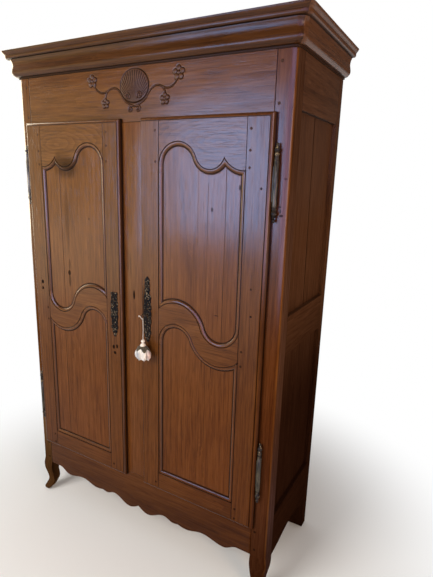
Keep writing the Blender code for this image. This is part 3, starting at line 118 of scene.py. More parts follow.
class Field:
    """What a node gives out, with arithmetic that adds the nodes for it."""

    def __init__(self, tree, socket):
        self.tree = tree
        self.socket = socket

    def __add__(self, other):
        return calc("ADD", self, other)

    def __sub__(self, other):
        return calc("SUBTRACT", self, other)

    def __rsub__(self, other):
        return calc("SUBTRACT", other, self)

    def __mul__(self, other):
        return calc("MULTIPLY", self, other)

    def __truediv__(self, other):
        return calc("DIVIDE", self, other)

    def __pow__(self, power):
        return calc("POWER", self, power)

    def __abs__(self):
        return calc("ABSOLUTE", self)


def plug(tree, socket, value):
    """Link a field to a socket, or set a number, vector or colour on it."""
    if isinstance(value, Field):
        tree.links.new(value.socket, socket)
    elif socket.type == "RGBA":
        socket.default_value = (*value[:3], 1.0)
    else:
        socket.default_value = value


def add(tree, kind, values=None, output=0, **settings):
    """A shader node with its settings and inputs; gives one of its outputs as a field."""
    node = tree.nodes.new("ShaderNode" + kind)
    for key, value in settings.items():
        setattr(node, key, value)
    for key, value in (values or {}).items():
        plug(tree, node.inputs[key], value)
    return Field(tree, node.outputs[output])


def tree_of(*values):
    """The node tree of the first field among the values."""
    return next(value.tree for value in values if isinstance(value, Field))


def calc(operation, *values, clamped=False):
    tree = tree_of(*values)
    return add(tree, "Math", dict(enumerate(values)), operation=operation, use_clamp=clamped)


def larger(first, second):
    return calc("MAXIMUM", first, second)


def scaled(value, factor, offset):
    return calc("MULTIPLY_ADD", value, factor, offset)


def between(value, low, high, out_low=0.0, out_high=1.0):
    """Smooth step from out_low to out_high as the value goes from low to high."""
    values = {"Value": value, "From Min": low, "From Max": high, "To Min": out_low, "To Max": out_high}
    return add(value.tree, "MapRange", values, interpolation_type="SMOOTHSTEP")


def blended(share, first, second, mode="MIX"):
    values = {"Factor": share, 6: first, 7: second}
    tree = tree_of(share, first, second)
    return add(tree, "Mix", values, 2, data_type="RGBA", blend_type=mode)


def tinted(colour, share, tint):
    """The colour times a tint, as far as the share goes."""
    return blended(share, colour, tint, "MULTIPLY")


def noise(vector, scale, detail=2.0, roughness=0.5):
    values = {"Vector": vector, "Scale": scale, "Detail": detail, "Roughness": roughness}
    return add(vector.tree, "TexNoise", values, "Fac")


def stretched(vector, scales, offset=(0, 0, 0), turn=(0, 0, 0)):
    values = {"Vector": vector, "Location": offset, "Rotation": turn, "Scale": scales}
    return add(vector.tree, "Mapping", values)


def parts_of(vector):
    """The X, Y and Z of a vector field."""
    node = add(vector.tree, "SeparateXYZ", {"Vector": vector}).socket.node
    return {axis: Field(vector.tree, node.outputs[axis]) for axis in AXES}


def bump(heights, strength, distance, **below):
    values = {"Height": heights, "Strength": strength, "Distance": distance, **below}
    return add(heights.tree, "Bump", values)


def new_material(name):
    """A new material, its node tree, and the place on the object as a field."""
    material = bpy.data.materials.new(name)
    material.use_nodes = True
    tree = material.node_tree
    return material, tree, add(tree, "TexCoord", output="Object")


def surfaced(material, **values):
    """The material with these values on its surface shader."""
    tree = material.node_tree
    shader = tree.nodes["Principled BSDF"]
    for key, value in values.items():
        plug(tree, shader.inputs[key.replace("_", " ")], value)
    return material


# Wood: dark, middle and light colour of each tone

TONES = {
    "waxed": ((0.058, 0.0186, 0.0041), (0.118, 0.0422, 0.0094), (0.167, 0.0670, 0.0175)),
    "panel": ((0.058, 0.0176, 0.0038), (0.116, 0.0392, 0.0089), (0.162, 0.0615, 0.0160)),
    "cornice": ((0.024, 0.0080, 0.0018), (0.058, 0.0205, 0.0048), (0.092, 0.0350, 0.0090)),
    "cornice_end": ((0.064, 0.0230, 0.0085), (0.116, 0.0440, 0.0170), (0.160, 0.0650, 0.0260)),
    "side": ((0.051, 0.0200, 0.0090), (0.093, 0.0380, 0.0168), (0.126, 0.0558, 0.0270)),
    "back": ((0.072, 0.0350, 0.0160), (0.125, 0.0650, 0.0310), (0.165, 0.0900, 0.0460)),
    "raw": ((0.150, 0.085, 0.045), (0.270, 0.165, 0.092), (0.340, 0.220, 0.130)),
}
# Roughness and how much a tone mirrors
GLOSS = {"raw": (0.62, 0.30), "side": (0.46, 0.15), "back": (0.46, 0.15)}
WAXED_GLOSS = (0.21, 0.36)
CORNICE_SHINE = 0.55
# Colour of pores, cracks, dirt and painted shade
DIRT_AND_SHADE = (0.012, 0.006, 0.003)
RAMP_DARK, RAMP_MIDDLE, RAMP_LIGHT = 0.16, 0.50, 0.88
FINE_SPOT = 0.012
# Noise in the wood: cycles a metre across and along the grain, shift, detail, roughness
WOOD_NOISE = {
    "fibres": (300.0, 6.0, 0.0, 3.0, 0.65),
    "flecks": (150.0, 9.0, 7.0, 2.0, 0.6),
    "streaks": (70.0, 1.1, 3.0, 3.0, 0.6),
    "blotches": (7.0, 2.0, 9.0, 3.0, 0.6),
    "pores": (620.0, 16.0, 5.0, 1.0, 0.5),
    "stains": (16.0, 4.0, 13.0, 3.0, 0.6),
    "swell": (9.0, 2.5, 1.5, 2.0, 0.5),
}
# Tints over the whole wardrobe: a redder tone with painted shade low on the front, painted shade
# towards its right and low on the sides. Axis, where they begin and are full, full share, tint
FRONT_TINTS = [
    ("Z", 1.15, 0.20, 0.80, (0.84, 0.72, 0.66)),
    ("Z", 0.42, 0.15, 1.00, (0.62, 0.58, 0.52)),
    ("X", 0.00, 0.60, 0.60, (0.80, 0.68, 0.62)),
]
# Painted shadow on the low half of the sides
SIDE_TINTS = [("Z", 1.35, 0.70, 1.00, (0.25, 0.21, 0.22))]
TINTS = {"waxed": FRONT_TINTS, "panel": FRONT_TINTS, "cornice": FRONT_TINTS, "side": SIDE_TINTS}


def ring_field(here, grain, seed, centre, tilt, oval):
    """Year rings round the centre, cut by the board's faces."""
    along = AXES.index(grain)
    scales = [1.0, 1.0, 1.0]
    scales[along] = 0.33 if oval else 0.5
    turn = [0.0, 0.0, 0.0]
    turn[2 if grain == "X" else 0] = radians(tilt * (1 if seed % 2 else -1))
    moved = stretched(here, scales, [-centre[i] * scales[i] for i in range(3)])
    values = {
        "Vector": stretched(moved, (1, 1, 1), (0, 0, 0), turn),
        "Scale": 26.0 if oval else 18.0 + seed % 7,
        "Distortion": 3.4 if oval else 1.2 + 0.3 * (seed % 3),
        "Detail": 2.0, "Detail Scale": 3.0, "Detail Roughness": 0.5,
    }
    return add(here.tree, "TexWave", values, "Fac", wave_type="RINGS", wave_profile="SAW",
               rings_direction="SPHERICAL" if oval else grain)


def wood_noise(here, grain, seed, word):
    """One of the noises in the wood, drawn out along the grain and shifted by the seed."""
    across, lengthwise, extra, detail, roughness = WOOD_NOISE[word]
    shift = (seed * 1.37 % 7.1, seed * 2.11 % 5.3, seed * 0.73 % 6.7)
    scales = [across, across, across]
    scales[AXES.index(grain)] = lengthwise
    drawn_out = stretched(here, scales, [value + extra for value in shift])
    return noise(drawn_out, 1.0, detail, roughness)


def grain_ramp(value, tone, shade):
    ramp = add(value.tree, "ValToRGB", {"Fac": value}, "Color")
    dark, middle, light = [[a * b for a, b in zip(step, shade)] for step in TONES[tone]]
    stops = ramp.socket.node.color_ramp.elements
    stops[0].position, stops[0].color = RAMP_DARK, (*dark, 1)
    stops[1].position, stops[1].color = RAMP_LIGHT, (*light, 1)
    stops.new(RAMP_MIDDLE).color = (*middle, 1)
    return ramp


def marks_on(place, facing, streaks, grain, lines, lean, spots):
    """Cracks along the grain, and stains and painted shadows on the faces that look forward, from 0 to
    1.
    """
    marks = 0.0
    lengthwise = place[grain]
    wobble = scaled(streaks, 0.004, -0.002)
    for axis, position, half_width, low, high, strength in lines:
        across = place[axis] + scaled(lengthwise, lean, wobble)
        line = between(abs(across - position), half_width, half_width * 0.3, 0.0, strength)
        inside = calc("GREATER_THAN", lengthwise, low) * calc("LESS_THAN", lengthwise, high)
        marks = larger(marks, line * inside)
    outward = between(facing["Y"], 0.3, -0.3)
    for x, z, width, height, strength in spots:
        square = ((place["X"] - x) / width) ** 2.0 + ((place["Z"] - z) / height) ** 2.0
        ragged = scaled(streaks, 1.2, square + -0.6)
        full = 0.65 if width < FINE_SPOT else 0.0
        marks = larger(marks, between(ragged, 1.0, full, 0.0, strength) * outward)
    return marks


def front_post_tints(colour, place, facing, front_shade):
    """Tints of the right front post: painted shade on its front face, which leaves the painted
    highlight of the post's lighter shade on its rounding; another tone outside; painted shade on its
    low half.
    """
    frontal = abs(facing["Y"])
    colour = tinted(colour, between(frontal, 0.66, 0.82), front_shade)
    colour = tinted(colour, between(frontal, 0.68, 0.52), (0.525, 0.68, 1.87))
    return tinted(colour, between(place["Z"], 1.15, 0.50), (0.76, 0.74, 0.80))


def edge_shade_tints(colour, place, facing):
    """A darker tint that grows to full where faces turn away from the front, painted shade; and dirt
    and a painted shadow in the gap beside the doors.
    """
    rounded = calc("ADD", between(abs(facing["Y"]), 0.95, 0.66), 0.5, clamped=True)
    colour = tinted(colour, rounded, (0.72, 0.68, 0.68))
    edge = between(abs(facing["X"]), 0.70, 0.90)
    edge = edge * between(place["Y"], CASE_SHIFT - 0.016, CASE_SHIFT - 0.007)
    edge = edge * between(place["Y"], CASE_SHIFT + 0.003, CASE_SHIFT, 0.0, 0.85)
    return blended(edge, colour, DIRT_AND_SHADE)


def shine_of(tone, shine, place, facing, gleam):
    """How much the wood mirrors: less on sideways faces and on worn, dull stretches."""
    height = place["Z"]
    frontal = abs(facing["Y"])
    sideways = between(abs(facing["X"]), 0.90, 0.99)
    shine = scaled(sideways, -0.65 * shine, shine)
    if tone in ("side", "back"):
        return shine * between(height, 1.85, 1.45, 1.0, 0.0)
    if gleam is not None:
        return shine * (between(frontal, 0.66, 0.84) * between(height, 1.42, 0.97, gleam, 0.0))
    low_loss = between(frontal, 0.93, 0.985) * between(height, 1.40, 0.75, 0.0, 0.78)
    lip_loss = between(place["X"], 0.553, 0.560) * between(height, 1.42, 1.10, 0.0, 0.85)
    shine = shine * ((1.0 - low_loss) * (1.0 - lip_loss))
    return shine * CORNICE_SHINE if tone in ("cornice", "cornice_end") else shine


def wood(name, tone="waxed", grain="Z", seed=0, centre=(0.0, 0.10, 1.0), tilt=3.5,
         lines=(), spots=(), oval=False, ring_share=0.16, gleam=None,
         shade=(1.0, 1.0, 1.0), front_shade=None, foot=None, lean=0.0):
    """Waxed oak: rings cut by the board's face, fibres and pores along the grain, blotches,
    a warmer tone and painted shade lower down, dirt and painted shade from the mesh, cracks,
    stains and painted shadows.

    lines: (axis, place, half width, low, high, strength), low and high along the grain;
    lean shifts them as they go up.
    spots: (x, z, width, height, strength).
    gleam: how glossy a post's flat face stays at its top; the other boards have none.
    shade, front_shade and foot tint the whole, the front face, and the low end; shade is painted light
    on the centre post, and on the right front post shade and front_shade paint a highlight and shade.
    """
    material, tree, here = new_material(name)
    place = parts_of(here)
    facing = parts_of(add(tree, "TexCoord", output="Normal"))
    rings = ring_field(here, grain, seed, centre, tilt, oval)
    fibres, flecks, streaks, blotches, pores, swell = (
        wood_noise(here, grain, seed, word)
        for word in ("fibres", "flecks", "streaks", "blotches", "pores", "swell"))
    value = 0.5
    for field, share in ((blotches, 0.50), (flecks, 0.60), (streaks, 0.36), (fibres, 0.90),
                         (rings, ring_share)):
        value = scaled(field, share, -share / 2) + value
    pits = between(pores, 0.60, 0.72)
    colour = blended(pits * 0.35, grain_ramp(value, tone, shade), DIRT_AND_SHADE)

    for axis, start, full, share, tint in TINTS.get(tone, ()):
        colour = tinted(colour, between(place[axis], start, full, 0.0, share), tint)
    if tone in ("waxed", "panel"):
        stains = between(wood_noise(here, grain, seed, "stains"), 0.50, 0.72, 0.0, 0.55)
        colour = tinted(colour, stains, (0.70, 0.60, 0.52))
    if foot:
        colour = tinted(colour, between(place["Z"], 0.80, 0.25), foot)

    marks = marks_on(place, facing, streaks, grain, lines, lean, spots)
    # Dirt and painted shade in quirks, hollows and gaps, as the mesh gives it
    dirt = add(tree, "Attribute", output="Fac", attribute_name="dirt")
    dirt = calc("MULTIPLY", dirt, scaled(streaks, 0.5, 0.62), clamped=True)
    colour = blended(dirt, blended(marks, colour, DIRT_AND_SHADE), DIRT_AND_SHADE)
    # Painted shade on faces that look down, on the side-toned boards
    if tone == "side":
        colour = blended(between(facing["Z"], -0.60, -0.95, 0.0, 0.75), colour, DIRT_AND_SHADE)
    if front_shade:
        colour = front_post_tints(colour, place, facing, front_shade)
    elif tone == "waxed":
        colour = edge_shade_tints(colour, place, facing)

    roughness, shine = GLOSS.get(tone, WAXED_GLOSS)
    shine = shine_of(tone, shine, place, facing, gleam) * (1.0 - larger(dirt, marks))
    heights = scaled(rings, 0.25, fibres * 0.5) - pits * 0.6 - marks * 1.5
    broad = bump(swell, 0.5, 0.004, Normal=bump(heights, 0.35, 0.0005))
    return surfaced(material, Base_Color=colour, Specular_IOR_Level=shine, Normal=broad,
                    Roughness=scaled(streaks, 0.16, roughness - 0.08) + dirt * 0.3)


def dark_iron():
    material, _, here = new_material("dark_iron")
    patches = noise(here, 90.0, 3.0, 0.6)
    colour = blended(between(patches, 0.42, 0.62), (0.010, 0.007, 0.005), (0.050, 0.036, 0.022))
    colour = blended(between(patches, 0.58, 0.66) * 0.8, colour, (0.26, 0.20, 0.12))
    return surfaced(material, Base_Color=colour, Roughness=scaled(patches, 0.35, 0.36),
                    Normal=bump(noise(here, 420.0, 3.0, 0.65), 0.6, 0.0006),
                    Specular_IOR_Level=0.15)


def speckled_iron():
    """Black pierced plate with rust, and small bright flecks that are worn spots and painted glints."""
    material, _, here = new_material("speckled_iron")
    flecks = noise(here, 210.0, 1.0, 0.5)
    patches = between(noise(here, 130.0, 2.0, 0.6), 0.42, 0.62)
    colour = blended(patches, (0.0035, 0.0032, 0.0032), (0.0090, 0.0065, 0.0050))
    colour = blended(between(flecks, 0.63, 0.68, 0.0, 0.9), colour, (0.26, 0.20, 0.13))
    return surfaced(material, Base_Color=colour, Roughness=0.55, Specular_IOR_Level=0.05,
                    Normal=bump(flecks, 0.7, 0.0008))


def old_brass(name, dark, light):
    material, _, here = new_material(name)
    bands = noise(stretched(here, (140.0, 140.0, 26.0)), 1.0, 3.0, 0.6)
    spots = noise(here, 300.0, 2.0, 0.5)
    colour = blended(between(bands, 0.36, 0.66), dark, light)
    colour = blended(between(spots, 0.54, 0.66, 0.0, 0.8), colour, (0.016, 0.012, 0.008))
    return surfaced(material, Base_Color=colour, Metallic=0.25, Specular_IOR_Level=0.3,
                    Roughness=scaled(bands, -0.2, 0.50), Normal=bump(spots, 0.4, 0.0004))


def twisted_string():
    material, tree, here = new_material("twisted_string")
    turned = stretched(here, (700.0, 700.0, 420.0), (0, 0, 0), (0.5, 0.35, 0))
    strands = add(tree, "TexWave", {"Vector": turned, "Scale": 0.3, "Distortion": 0.6}, "Fac",
                  wave_type="BANDS", bands_direction="DIAGONAL")
    fuzz = noise(here, 900.0, 2.0, 0.6)
    return surfaced(material, Base_Color=blended(strands, (0.70, 0.64, 0.58), (0.90, 0.87, 0.83)),
                    Roughness=0.9, Normal=bump(scaled(fuzz, 0.4, strands), 0.8, 0.0003),
                    Sheen_Weight=0.3, Specular_IOR_Level=0.2)


def cloth(name, base, shade, blush=None, shaded_left=None):
    """Fine woven cloth with folds of another shade, a blush on its right, and painted shade in a cool
    tint on its left.
    """
    material, tree, here = new_material(name)
    folds = noise(stretched(here, (150.0, 150.0, 30.0)), 1.0, 2.0, 0.5)
    threads, crossing = [add(tree, "TexWave", {"Vector": here, "Scale": 240.0}, "Fac",
                             bands_direction=axis) for axis in "ZX"]
    weave = threads * crossing
    colour = blended(between(folds, 0.38, 0.64), base, shade)
    if blush:
        x = parts_of(here)["X"]
        patch = between(x, 0.100, 0.118) * between(folds, 0.30, 0.55, 0.2, 0.8)
        colour = blended(patch, colour, blush)
        # Painted shade: a cool tint over the tassel's left
        patch = between(x, 0.090, 0.068) * between(folds, 0.34, 0.52)
        colour = blended(patch, colour, shaded_left)
    colour = blended(weave * 0.12, colour, (0.2, 0.17, 0.15))
    return surfaced(material, Base_Color=colour, Roughness=0.88, Sheen_Weight=0.25,
                    Specular_IOR_Level=0.2, Normal=bump(weave, 0.35, 0.0003))


IRON = dark_iron()
PLATE_IRON = speckled_iron()
BRASS = old_brass("old_brass", (0.018, 0.014, 0.009), (0.078, 0.064, 0.040))
# A lighter copy of the old brass, painted light, for the upper left hinge
LIT_BRASS = old_brass("lit_brass", (0.050, 0.040, 0.027), (0.210, 0.172, 0.120))
STRING = twisted_string()


# Mesh helpers

def new_mesh():
    bm = bmesh.new()
    bm.verts.layers.float.new("dirt")
    return bm


def skin(bm, rings, dirt=0.0, closed=False):
    """Faces over a stack of rings. The dirt and painted shade is one number, or one for each ring or
    each point.
    """
    layer = bm.verts.layers.float["dirt"]
    rows = []
    for number, ring in enumerate(rings):
        row = []
        for place, point in enumerate(ring):
            vert = bm.verts.new(point)
            amount = dirt
            if isinstance(amount, (list, tuple)):
                amount = amount[number]
            if isinstance(amount, (list, tuple)):
                amount = amount[place]
            vert[layer] = amount
            row.append(vert)
        rows.append(row)
    count = len(rows[0])
    pairs = list(zip(rows, rows[1:]))
    if closed:
        pairs.append((rows[-1], rows[0]))
    for below, above in pairs:
        for i in range(count):
            j = (i + 1) % count
            bm.faces.new((below[i], below[j], above[j], above[i]))
    if not closed:
        bm.faces.new(rows[0])
        bm.faces.new(list(reversed(rows[-1])))


def finish_piece(name, bm, body, material, stands_for=(), sharp=38.0):
    """Clean the mesh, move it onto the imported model, and let it ride on its body."""
    bmesh.ops.remove_doubles(bm, verts=bm.verts, dist=0.0000005)
    bmesh.ops.recalc_face_normals(bm, faces=bm.faces)
    wide = [face for face in bm.faces if len(face.verts) > 4]
    bmesh.ops.triangulate(bm, faces=wide, ngon_method="EAR_CLIP")
    mesh = bpy.data.meshes.new(name)
    bm.to_mesh(mesh)
    bm.free()
    mesh.transform(Matrix.Translation((0, CASE_SHIFT, 0)))
    mesh.materials.append(material)
    mesh.shade_smooth()
    mesh.set_sharp_from_angle(angle=radians(sharp))
    piece = placed(name, mesh)
    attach(piece, body)
    if stands_for:
        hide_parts(*stands_for)
    return piece


def dress(node, bm, body, material, sharp=38.0):
    """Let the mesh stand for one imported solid."""
    finish_piece(node + "_dressed", bm, body, material, (node,), sharp)


def case_box(node):
    """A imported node's box in the source's frame."""
    low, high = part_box(node)
    shift = Vector((0, CASE_SHIFT, 0))
    return Vector(low) - shift, Vector(high) - shift


def add_board(bm, low, high, arris=ARRIS):
    """A box with softened edges that carry dirt."""
    layer = bm.verts.layers.float["dirt"]
    corners = []
    for z in (low[2], high[2]):
        for x, y in ((low[0], low[1]), (high[0], low[1]), (high[0], high[1]), (low[0], high[1])):
            corners.append(bm.verts.new((x, y, z)))
    quads = ((0, 3, 2, 1), (4, 5, 6, 7), (0, 1, 5, 4), (1, 2, 6, 5), (2, 3, 7, 6), (3, 0, 4, 7))
    faces = [bm.faces.new([corners[i] for i in quad]) for quad in quads]
    edges = {edge for face in faces for edge in face.edges}
    result = bmesh.ops.bevel(bm, geom=list(edges), offset=arris, segments=3, profile=0.6,
                             affect="EDGES", clamp_overlap=True)
    small = arris * 0.02
    for vert in result["verts"]:
        away = 0
        for i in range(3):
            nearest = min(abs(vert.co[i] - low[i]), abs(vert.co[i] - high[i]))
            away += small < nearest < arris - small
        vert[layer] = 0.55 if away >= 2 else 0.0


def round_points(centre, radius, steps, start=0.0, end=2 * pi):
    whole = abs(end - start - 2 * pi) < 0.000001
    points = []
    for step in range(steps if whole else steps + 1):
        angle = start + (end - start) * step / steps
        points.append((centre[0] + radius * cos(angle), centre[1] + radius * sin(angle)))
    return points


def add_lathe(bm, profile, centre, steps):
    """Turn a profile of (radius, height) pairs round a vertical line."""
    rings = []
    for radius, height in profile:
        rings.append([(x, y, height) for x, y in round_points(centre, radius, steps)])
    skin(bm, rings)


def add_stud(bm, x, z, sections, steps=16):
    """Turn a profile of (radius, y) pairs round a line that runs from front to back."""
    rings = []
    for radius, y in sections:
        rings.append([(px, y, pz) for px, pz in round_points((x, z), radius, steps)])
    skin(bm, rings)


def add_rod(bm, path, radius, steps=12, closed=False):
    """A round rod along a path, its radius one number or one for each point."""
    points = [Vector(point) for point in path]
    count = len(points)
    rings = []
    side = None
    for i, point in enumerate(points):
        # The upper left hinge takes the lighter brass: painted light
        if closed:
            ahead = points[(i + 1) % count] - points[i - 1]
        else:
            ahead = points[min(i + 1, count - 1)] - points[max(i - 1, 0)]
        ahead.normalize()
        if side is None:
            helper = Vector((0, 0, 1)) if abs(ahead.z) < 0.9 else Vector((0, 1, 0))
            side = ahead.cross(helper).normalized()
        side = (side - ahead * side.dot(ahead)).normalized()
        up = ahead.cross(side)
        reach = radius[i] if isinstance(radius, (list, tuple)) else radius
        ring = []
        for across, rise in round_points((0, 0), reach, steps):
            ring.append(point + side * across + up * rise)
        rings.append(ring)
    skin(bm, rings, closed=closed)


def smooth_line(points, steps):
    """Points read from a smooth curve through the given ones, of any size."""
    route = [Vector(point) for point in points]
    padded = [2 * route[0] - route[1]] + route + [2 * route[-1] - route[-2]]
    result = []
    for i in range(1, len(padded) - 2):
        p0, p1, p2, p3 = padded[i - 1:i + 3]
        for step in range(steps):
            t = step / steps
            result.append(0.5 * (2 * p1 + (p2 - p0) * t + (2 * p0 - 5 * p1 + 4 * p2 - p3) * t ** 2
                                 + (3 * p1 - p0 - 3 * p2 + p3) * t ** 3))
    result.append(route[-1])
    return result


# Cord and tassel under the key

KEY_X = 0.080
KEY_HEIGHT = 1.085
KEY_PLACE = Vector((KEY_X, -0.054, KEY_HEIGHT))
BOW_RADIUS = 0.0102
BOW_WIRE = 0.0018
CORD_RADIUS = 0.001
CORD_START = KEY_PLACE + Vector((0, 0, -BOW_RADIUS - BOW_WIRE - 0.0006))
CORD_ROUTE = [
    (0.0000, 0.0000, 0.0000), (0.0000, 0.0000, -0.0100), (0.0002, 0.0002, -0.0250),
    (0.0003, 0.0003, -0.0400), (0.0000, 0.0002, -0.0550), (-0.0004, 0.0000, -0.0690),
    (-0.0006, 0.0000, -0.0824), (-0.0006, 0.0000, -0.1050), (-0.0006, 0.0000, -0.1300),
]
TASSEL_TOP = CORD_START + Vector(CORD_ROUTE[-3])
TASSEL_DEPTH_SHARE = 0.70
BELL_LOBES = 7
HEM_RADIUS = 0.0262
HEM_DROP = 0.0790


def make_cord():
    curve = bpy.data.curves.new("string", "CURVE")
    curve.dimensions = "3D"
    curve.bevel_depth = CORD_RADIUS
    curve.bevel_resolution = 3
    curve.use_fill_caps = True
    points = [CORD_START + offset for offset in smooth_line(CORD_ROUTE, 3)]
    spline = curve.splines.new("POLY")
    spline.points.add(len(points) - 1)
    for knot, point in zip(spline.points, points):
        knot.co = (point.x, point.y + CASE_SHIFT, point.z, 1.0)
    curve.materials.append(STRING)
    piece = placed("string", curve)
    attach(piece, "tassel")
    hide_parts("tassel_cord")
    length = sum((b - a).length for a, b in zip(points, points[1:]))
    return piece, length


def tassel_rings(profile, lobes, depth, steps, twist=0.0, sharpness=0.7):
    """Rings of a lobed bell from (drop, radius, share of the lobes)."""
    rings = []
    for drop, radius, share in profile:
        ring = []
        for step in range(steps):
            angle = 2 * pi * step / steps
            lobe = abs(cos(lobes * angle / 2 + twist)) ** sharpness
            reach = radius * (1 - depth * share * (1 - lobe))
            ring.append((TASSEL_TOP.x + reach * cos(angle),
                         TASSEL_TOP.y + TASSEL_DEPTH_SHARE * reach * sin(angle),
                         TASSEL_TOP.z - drop + 0.0025 * share * (1 - lobe)))
        rings.append(ring)
    return rings


def make_tassel():
    pieces = []
    bead = new_mesh()
    profile = [(0.0008, 0.0002), (0.0042, 0.0007), (0.0068, 0.0026), (0.0080, 0.0058),
               (0.0072, 0.0090), (0.0050, 0.0114), (0.0030, 0.0126), (0.0034, 0.0136),
               (0.0062, 0.0150), (0.0088, 0.0176), (0.0104, 0.0210), (0.0118, 0.0248),
               (0.0100, 0.0262), (0.0010, 0.0266)]
    turned = [(radius, TASSEL_TOP.z - drop) for radius, drop in reversed(profile)]
    add_lathe(bead, turned, (TASSEL_TOP.x, TASSEL_TOP.y), 28)
    bead_cloth = cloth("bead_cloth", (0.86, 0.80, 0.74), (0.70, 0.62, 0.56))
    pieces.append(finish_piece("tassel_bead", bead, "tassel", bead_cloth,
                               ("tassel",)))
    bell = new_mesh()
    outer = [(0.0240, 0.0100, 0.0), (0.0300, 0.0170, 0.2), (0.0370, 0.0245, 0.5),
             (0.0460, 0.0315, 0.8), (0.0560, 0.0361, 1.0), (0.0660, 0.0366, 1.0),
             (0.0740, 0.0335, 1.0), (0.0800, 0.0275, 1.0)]
    inner = [(0.0795, 0.0255, 1.0), (0.0720, 0.0290, 1.0), (0.0600, 0.0300, 1.0),
             (0.0480, 0.0240, 0.7), (0.0380, 0.0140, 0.3), (0.0340, 0.0030, 0.0)]
    skin(bell, tassel_rings(outer + inner, BELL_LOBES, 0.20, 84))
    bell_cloth = cloth("bell_cloth", (0.82, 0.78, 0.74), (0.58, 0.56, 0.56), (0.74, 0.46, 0.42),
                       (0.26, 0.29, 0.36))
    pieces.append(finish_piece("tassel_bell", bell, "tassel", bell_cloth))
    leaves = new_mesh()
    sepals = [(0.0225, 0.0085, 0.0), (0.0262, 0.0140, 0.3), (0.0320, 0.0222, 0.8),
              (0.0390, 0.0280, 2.4), (0.0470, 0.0325, 5.0)]
    under = [(0.0474, 0.0312, 5.0), (0.0335, 0.0215, 0.8), (0.0268, 0.0124, 0.3),
             (0.0240, 0.0050, 0.0)]
    skin(leaves, tassel_rings(sepals + under, 5, 0.05, 80, -0.91, 2.2))
    leaf_cloth = cloth("leaf_cloth", (0.045, 0.034, 0.018), (0.100, 0.078, 0.044))
    pieces.append(finish_piece("tassel_sepals", leaves, "tassel", leaf_cloth))
    hem = new_mesh()
    for lobe in range(BELL_LOBES):
        angle = 2 * pi * lobe / BELL_LOBES
        centre = Vector((TASSEL_TOP.x + HEM_RADIUS * cos(angle),
                         TASSEL_TOP.y + TASSEL_DEPTH_SHARE * HEM_RADIUS * sin(angle),
                         TASSEL_TOP.z - HEM_DROP))
        tip = centre + Vector((0.001 * cos(angle), 0.0, -0.0050))
        add_rod(hem, [centre, (centre + tip) / 2, tip], [0.0022, 0.0020, 0.0009], 8)
    # The hem's tips in a darker cloth: painted shadow under the bell's edge
    shaded_hem_cloth = cloth("shaded_hem_cloth", (0.66, 0.55, 0.48), (0.24, 0.20, 0.17))
    pieces.append(finish_piece("tassel_hem", hem, "tassel", shaded_hem_cloth))
    return pieces


string, string_length = make_cord()
tassel_pieces = make_tassel()


# The short end of the string on the bow, and its knot as back, up and radius
TAIL_ROUTE = [
    (0.0012, -0.0026, -0.0006), (0.0010, -0.0070, 0.0030), (0.0004, -0.0130, 0.0095),
    (0.0000, -0.0180, 0.0155), (-0.0006, -0.0216, 0.0172),
]
KNOT = [(0.0022, -0.0018, 0.0008), (0.0010, -0.0008, 0.0026), (0.0, 0.0, 0.0030),
        (-0.0016, 0.0008, 0.0024), (-0.0024, 0.0012, 0.0006)]


def make_key():
    bm = new_mesh()
    x, z = KEY_PLACE.x, KEY_PLACE.z
    bow = [(x, KEY_PLACE.y + py, z + pz) for py, pz in round_points((0, 0), BOW_RADIUS, 40)]
    add_rod(bm, bow, BOW_WIRE, 12, closed=True)
    front = KEY_PLACE.y + BOW_RADIUS
    rear = case_box("key")[1].y
    shank = [(0.0022, front - 0.0010), (0.0044, front + 0.0006), (0.0046, front + 0.0022),
             (0.0034, front + 0.0032), (0.0044, front + 0.0046), (0.0044, front + 0.0056),
             (0.0030, front + 0.0068), (0.0030, rear - 0.0008), (0.0024, rear)]
    add_stud(bm, x, z, shank, 24)
    bit_front, bit_rear, bit_half, bit_drop = 0.0123, 0.0203, 0.0015, 0.0125
    add_board(bm, (x - bit_half, bit_front, z - bit_drop), (x + bit_half, bit_rear, z), 0.0004)
    dress("key", bm, "key", IRON)

    tail = new_mesh()
    bottom = KEY_PLACE + Vector((0, 0, -BOW_RADIUS))
    loop = [(bottom.x, bottom.y + py, bottom.z + pz) for py, pz in round_points((0, 0), 0.0032, 20)]
    add_rod(tail, loop, 0.0012, 8, closed=True)
    route = [bottom + Vector(offset) for offset in TAIL_ROUTE]
    add_rod(tail, smooth_line(route, 5), 0.0015, 8)
    knot = [route[-1] + Vector((0.0, back, up)) for back, up, _ in KNOT]
    add_rod(tail, knot, [radius for _, _, radius in KNOT], 10)
    finish_piece("string_tail", tail, "key", STRING)


make_key()


# Case: boards with softened, dirty edges

def side_board(node, grain, seed, corners=None, centre=None):
    """A plain board of a side, in its node's box or between other corners."""
    low, high = case_box(node)
    bm = new_mesh()
    add_board(bm, *(corners or (low, high)))
    if centre is None:
        middle = (low + high) / 2
        centre = (middle.x * 0.9, middle.y + 0.07 + CASE_SHIFT, middle.z)
    material = wood(node + "_wood", "side", grain, seed, centre=centre)
    dress(node, bm, "case", material)


def repaint(node, tone, grain, seed, **look):
    """Give a solid that is shown as it is a wood of its own."""
    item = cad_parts[node]
    item.data.materials.clear()
    item.data.materials.append(wood(node + "_wood", tone, grain, seed, **look))


# Slot for the lock's bolt in the centre post's right edge: from, to
BOLT_SLOT_HEIGHTS = (1.1015, 1.1195)
BOLT_SLOT_DEPTHS = (0.0128, 0.0218)
BOLT_SLOT_LENGTH = 0.0145


